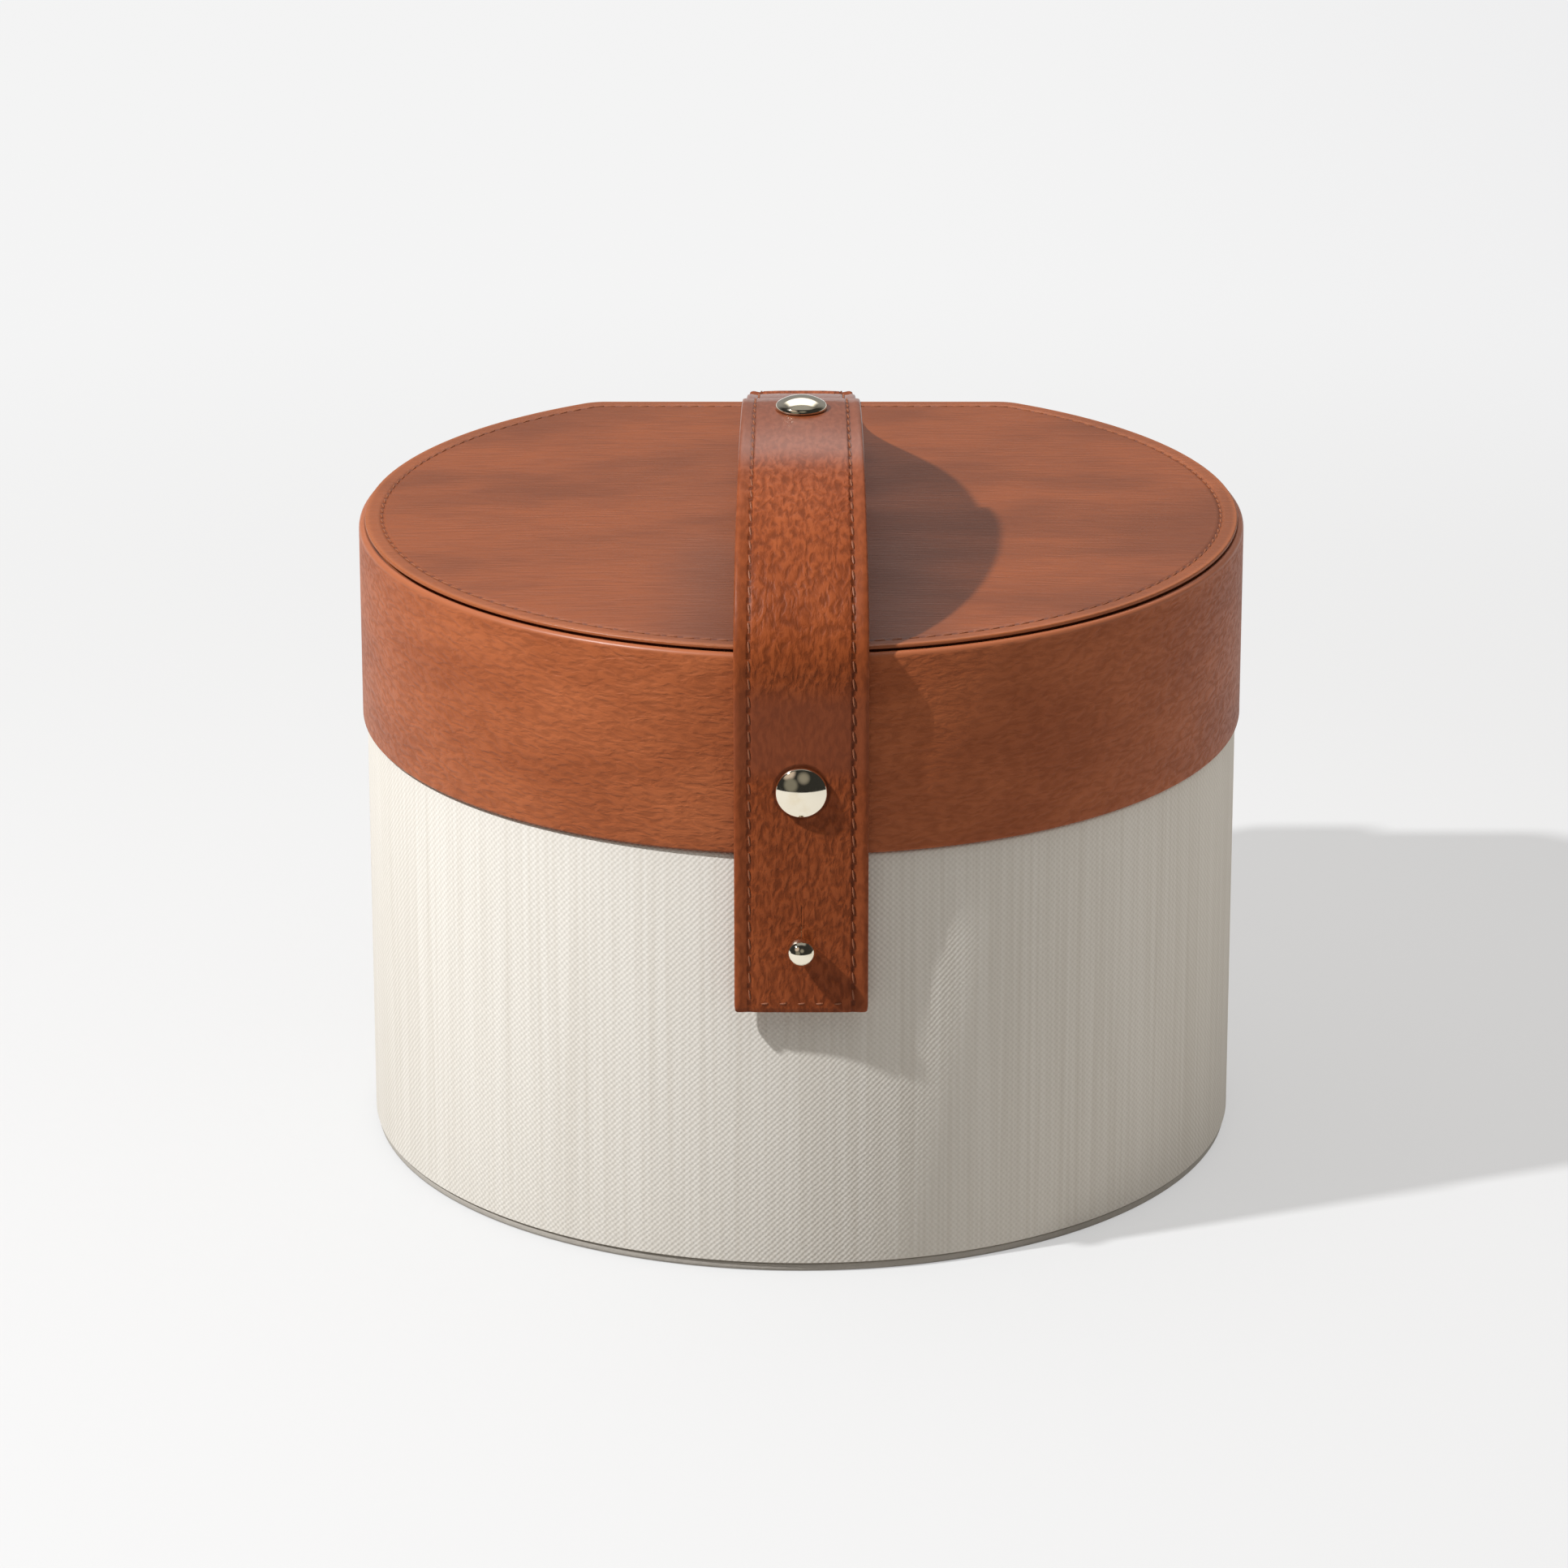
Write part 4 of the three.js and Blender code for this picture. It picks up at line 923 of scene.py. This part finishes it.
gold, tree = new_finish("polished_pale_gold")
place = put(tree, "TexCoord")["Object"]
handling = put(tree, "Group", {"Place": place}, node_tree=wear)
coat(tree, {
    "Base Color": mix(tree, handling["Tarnish"], (0.88, 0.81, 0.66, 1), (0.82, 0.72, 0.53, 1)),
    "Metallic": 1.0,
    "Roughness": handling["Rough"],
    "Normal": bump(tree, handling["Scuff"], 0.01 * mm, 0.3),
})


def draw_head(radius, middle, turn, steps):
    """The outline of a round head from its top down, as far as a turn about its middle on the axis."""
    leans = [turn * count / steps for count in range(steps + 1)]
    return [(radius * math.sin(lean), middle + radius * math.cos(lean)) for lean in leans]


cap_radius, cap_rim, cap_rise = 6.25, 0.9, 2.1
dome_radius = (cap_radius ** 2 + cap_rise ** 2) / (2 * cap_rise)
dome_turn = math.asin(cap_radius / dome_radius)
dome = draw_head(dome_radius, cap_rim + cap_rise - dome_radius, dome_turn, steps=12)
cap_outline = dome + [(cap_radius, 0), (0, 0)]
facing_front = Matrix.Rotation(math.pi / 2, 4, "X")
facing_back = Matrix.Rotation(-math.pi / 2, 4, "X")
rivet_height = 125
rivets = {
    "front_rivet_cap": at(0, -113.2, rivet_height) @ facing_front,
    "crown_rivet_cap": at(0, crown_y, 195.8),
    "back_rivet_cap": at(0, 98.7, rivet_height) @ facing_back,
}
for node, place in rivets.items():
    shape = turn_on_axis(cap_outline, place, [(len(dome) - 1, 0.7)])
    finish_piece(node + "_dome", shape, gold, "lid", "gold_fittings", node)
for node in ("front_rivet_post", "crown_rivet_post", "back_rivet_post", "stud_screw"):
    dress_solid(node, gold)


# Ball stud
# A turned stud with a ball head, screwed to the front of the drum from inside.
# The tab's keyhole stretches over the ball and rests on the neck behind it.
ball_radius, ball_reach, neck_radius, flange_radius = 3.5, 7.2, 1.9, 4.0
flange_thickness = 0.8
neck_turn = math.asin(neck_radius / ball_radius)
ball = draw_head(ball_radius, ball_reach, math.pi - neck_turn, steps=20)
flange = [(neck_radius, flange_thickness), (flange_radius, flange_thickness), (flange_radius, 0), (0, 0)]
stud_place = at(0, -109.2, stud_height) @ facing_front
shape = turn_on_axis(ball + flange, stud_place, [(len(ball) + 1, 0.3)])
finish_piece("ball_stud_turned", shape, gold, "base", "gold_fittings", "ball_stud")


# Hinges
# Two butt hinges of the same pale gold plate on the flat back, each leaf held by two slotted screws.
# The leaves have rounded outer corners, and three knuckles turn on a pin.
hinge_y, hinge_z, hinge_half_width = 98.3, 107.85, 12.0
knuckle_radius, bore_radius, pin_radius = 2.4, 1.1, 1.0
leaf_reach, leaf_thickness, leaf_start, leaf_corner, tongue_start = 13.5, 1.2, 2.8, 2.0, 0.8
screw_aside, screw_reach = 7.5, 9
leaves = {
    "lid": (1, 95.8, [(-3.9, 3.9)]),
    "base": (-1, 94.7, [(-hinge_half_width, -4.2), (4.2, hinge_half_width)]),
}


def along_hinge(hinge_x):
    """The placing that lays an upright shape along a hinge's axis."""
    return at(hinge_x, hinge_y, hinge_z) @ Matrix.Rotation(math.pi / 2, 4, "Y")


def make_leaf(hinge_x, way, inner_y, knuckles):
    """One hinge leaf: a plate with rounded outer corners and tongues that end in its knuckles."""
    outer_y = inner_y + leaf_thickness
    low, high = sorted((hinge_z + way * leaf_start, hinge_z + way * leaf_reach))
    leaf = make_block((hinge_x - hinge_half_width, inner_y, low), (hinge_x + hinge_half_width, outer_y, high))
    far_edges = edges_at(leaf, 2, (hinge_z + way * leaf_reach) * mm)
    far_corners = [edge for edge in far_edges if abs(edge.verts[0].co.y - edge.verts[1].co.y) > 0.1 * mm]
    round_off(leaf, far_corners, leaf_corner, segments=6, affect="EDGES")
    low, high = sorted((hinge_z + way * tongue_start, hinge_z + way * (leaf_start + 0.3)))
    for first, last in knuckles:
        tongue = make_block((hinge_x + first, inner_y, low), (hinge_x + last, outer_y, high))
        leaf = carve(leaf, tongue, "UNION")
        tube = [(bore_radius, first), (knuckle_radius, first), (knuckle_radius, last), (bore_radius, last)]
        leaf = carve(leaf, turn_on_axis(tube, along_hinge(hinge_x), steps=40), "UNION")
    return leaf


def make_screw(head_y, screw_x, screw_z, slot_turn):
    """A pan head with a slot pressed into it, facing back."""
    head_radius, head_height, slot_width, slot_depth = 2.1, 0.9, 0.5, 0.45
    head = [(0, 0), (head_radius, 0), (head_radius, head_height), (0, head_height)]
    screw = turn_on_axis(head, Matrix.Identity(4), [(2, 0.45)], steps=32)
    slot = make_block((-slot_width / 2, -3, head_height - slot_depth), (slot_width / 2, 3, head_height + 1))
    screw = carve(screw, slot, "DIFFERENCE")
    place = at(screw_x, head_y, screw_z) @ facing_back @ Matrix.Rotation(slot_turn, 4, "Z")
    bmesh.ops.transform(screw, matrix=place, verts=screw.verts[:])
    return screw


def soften(piece):
    """Break a metal piece's sharp edges."""
    broken_edge = piece.modifiers.new("broken_edge", "BEVEL")
    broken_edge.width = 0.2 * mm
    broken_edge.segments = 2
    broken_edge.limit_method = "ANGLE"
    broken_edge.angle_limit = math.radians(40)


for side_name, hinge_x in (("left", -33), ("right", 33)):
    for body, (way, inner_y, knuckles) in leaves.items():
        leaf = f"hinge_{body}_leaf_{side_name}"
        shape = make_leaf(hinge_x, way, inner_y, knuckles)
        soften(finish_piece(leaf + "_plate", shape, gold, body, "gold_fittings", leaf))
        outward = math.copysign(screw_aside, hinge_x)
        for place_name, aside in (("outer", outward), ("inner", -outward)):
            screw = f"{body}_screw_{side_name}_{place_name}"
            head_y = inner_y + leaf_thickness + 0.3
            slot_turn = math.radians(25 * aside + hinge_x + 40 * way)
            head = make_screw(head_y, hinge_x + aside, hinge_z + way * screw_reach, slot_turn)
            finish_piece(screw + "_head", head, gold, body, "gold_fittings", screw)
    pin_half = hinge_half_width - 0.2
    pin = [(0, -pin_half), (pin_radius, -pin_half), (pin_radius, pin_half), (0, pin_half)]
    shape = turn_on_axis(pin, along_hinge(hinge_x), [(1, 0.4), (2, 0.4)], steps=32)
    finish_piece(f"hinge_pin_{side_name}_rod", shape, gold, "base", "gold_fittings", f"hinge_pin_{side_name}")


# Table and light
# The case stands on a white table with a round front, in a studio with a pale back wall and a dark front.
# One small key lamp high on the left in front throws its shadow to the right, and the pale room fills it.
floor_finish, tree = new_finish("white_table")
path = put(tree, "LightPath")
seen = maths(tree, "MAXIMUM", path["Is Camera Ray"], path["Is Glossy Ray"])
table_tone = mix(tree, seen, (0.37, 0.355, 0.335, 1), (0.57, 0.57, 0.57, 1))
plain = put(tree, "BsdfDiffuse", {"Color": table_tone})[0]
place = put(tree, "TexCoord")["Object"]
# Painted shade: the table's seen tone grows a little darker towards the right.
shade_to_right = between(tree, put(tree, "SeparateXYZ", {0: place})[0], 0.0, 0.45)
backdrop = mix(tree, shade_to_right, (0.915, 0.915, 0.915, 1), (0.865, 0.865, 0.87, 1))
bright = put(tree, "Emission", {"Color": backdrop, "Strength": 1.0})[0]
away = put(tree, "VectorMath", {0: place}, operation="LENGTH")["Value"]
lift = times(tree, seen, between(tree, away, 0.35, 0.80, 0.507, 0.95))
lifted = put(tree, "MixShader", {0: lift, 1: plain, 2: bright})[0]
put(tree, "OutputMaterial", {"Surface": lifted})
table_round, table_side, table_step, table_depth = 0.75, 6.0, 0.06, 12.0
round_middle = Vector((0, -0.113, 0))
shape = bmesh.new()
bmesh.ops.create_circle(shape, cap_ends=True, segments=96, radius=table_round,
                        matrix=Matrix.Translation(round_middle))
bmesh.ops.bisect_plane(shape, geom=shape.verts[:] + shape.edges[:] + shape.faces[:], plane_co=round_middle,
                       plane_no=(0, 1, 0), clear_outer=True)
back_edge = edges_at(shape, 1, round_middle.y)
for back, widen in ((table_step, table_side / table_round), (table_depth, 1)):
    fresh, back_edge = extrude_rim(shape, back_edge)
    bmesh.ops.translate(shape, vec=(0, back, 0), verts=fresh)
    bmesh.ops.scale(shape, vec=(widen, 1, 1), verts=fresh)
face_outward(shape)
floor = make_object("white_table", shape)
floor.data.materials.append(floor_finish)

key_data = bpy.data.lights.new("key_light", "POINT")
key_data.energy = 50.5
key_data.shadow_soft_size = 0.018
key_data.color = (0.98, 0.99, 1.0)
key_data.use_nodes = True
even = put(key_data.node_tree, "LightFalloff", {"Strength": 1.0})["Constant"]
key_data.node_tree.links.new(even, key_data.node_tree.nodes["Emission"].inputs["Strength"])
key = bpy.data.objects.new("key_light", key_data)
key.location = (-0.620, -0.360, 0.841)
scene.collection.objects.link(key)

world = bpy.data.worlds.new("white_studio")
world.use_nodes = True
tree = world.node_tree
tree.nodes.clear()
look = put(tree, "TexCoord")["Generated"]
look_x, look_y, look_z = put(tree, "SeparateXYZ", {0: look})[0:3]
fill = mix(tree, between(tree, look_y, -0.8, 0.8), (0.06, 0.057, 0.054, 1), (0.54, 0.52, 0.50, 1))
fill = mix(tree, between(tree, look_x, 0.2, 1.0), fill, (0.62, 0.595, 0.565, 1))
fill = mix(tree, between(tree, look_x, 0.7, 1.0), fill, (0.95, 0.92, 0.88, 1))
fill = mix(tree, between(tree, look_z, 0.65, 0.90), fill, (0.98, 0.955, 0.925, 1))
mirrored = mix(tree, between(tree, look_y, 0.1, 0.8), (0.03, 0.03, 0.028, 1), (0.28, 0.28, 0.28, 1))
window = ((-0.54, -0.60, 0.59), 0.960, (0.60, 0.50, 0.43, 1))
grey_screen = ((-0.465, -0.875, 0.14), 0.955, (0.21, 0.20, 0.165, 1))
lamp_housing = ((0.108, -0.876, 0.47), 0.970, (0.27, 0.25, 0.21, 1))
for towards, reach, tone in (window, grey_screen, lamp_housing):
    nearness = put(tree, "VectorMath", {0: look, 1: towards}, operation="DOT_PRODUCT")["Value"]
    mirrored = mix(tree, between(tree, nearness, reach - 0.03, reach + 0.03), mirrored, tone)
ceiling = times(tree, between(tree, look_z, 0.80, 0.95), between(tree, look_y, -0.35, -0.15))
mirrored = mix(tree, ceiling, mirrored, (0.35, 0.35, 0.34, 1))
softbox = times(tree, between(tree, look_z, 0.50, 0.62), between(tree, look_y, 0.36, 0.46))
softbox = times(tree, softbox, between(tree, maths(tree, "ABSOLUTE", look_x), 0.28, 0.42, 1, 0))
mirrored = mix(tree, softbox, mirrored, (2.2, 2.2, 2.2, 1))
path = put(tree, "LightPath")
room_tone = mix(tree, path["Is Glossy Ray"], fill, mirrored)
room_tone = mix(tree, path["Is Camera Ray"], room_tone, (0.905, 0.905, 0.905, 1))
surroundings = put(tree, "Background", {"Color": room_tone, "Strength": 1.0})[0]
put(tree, "OutputWorld", {"Surface": surroundings})
scene.world = world
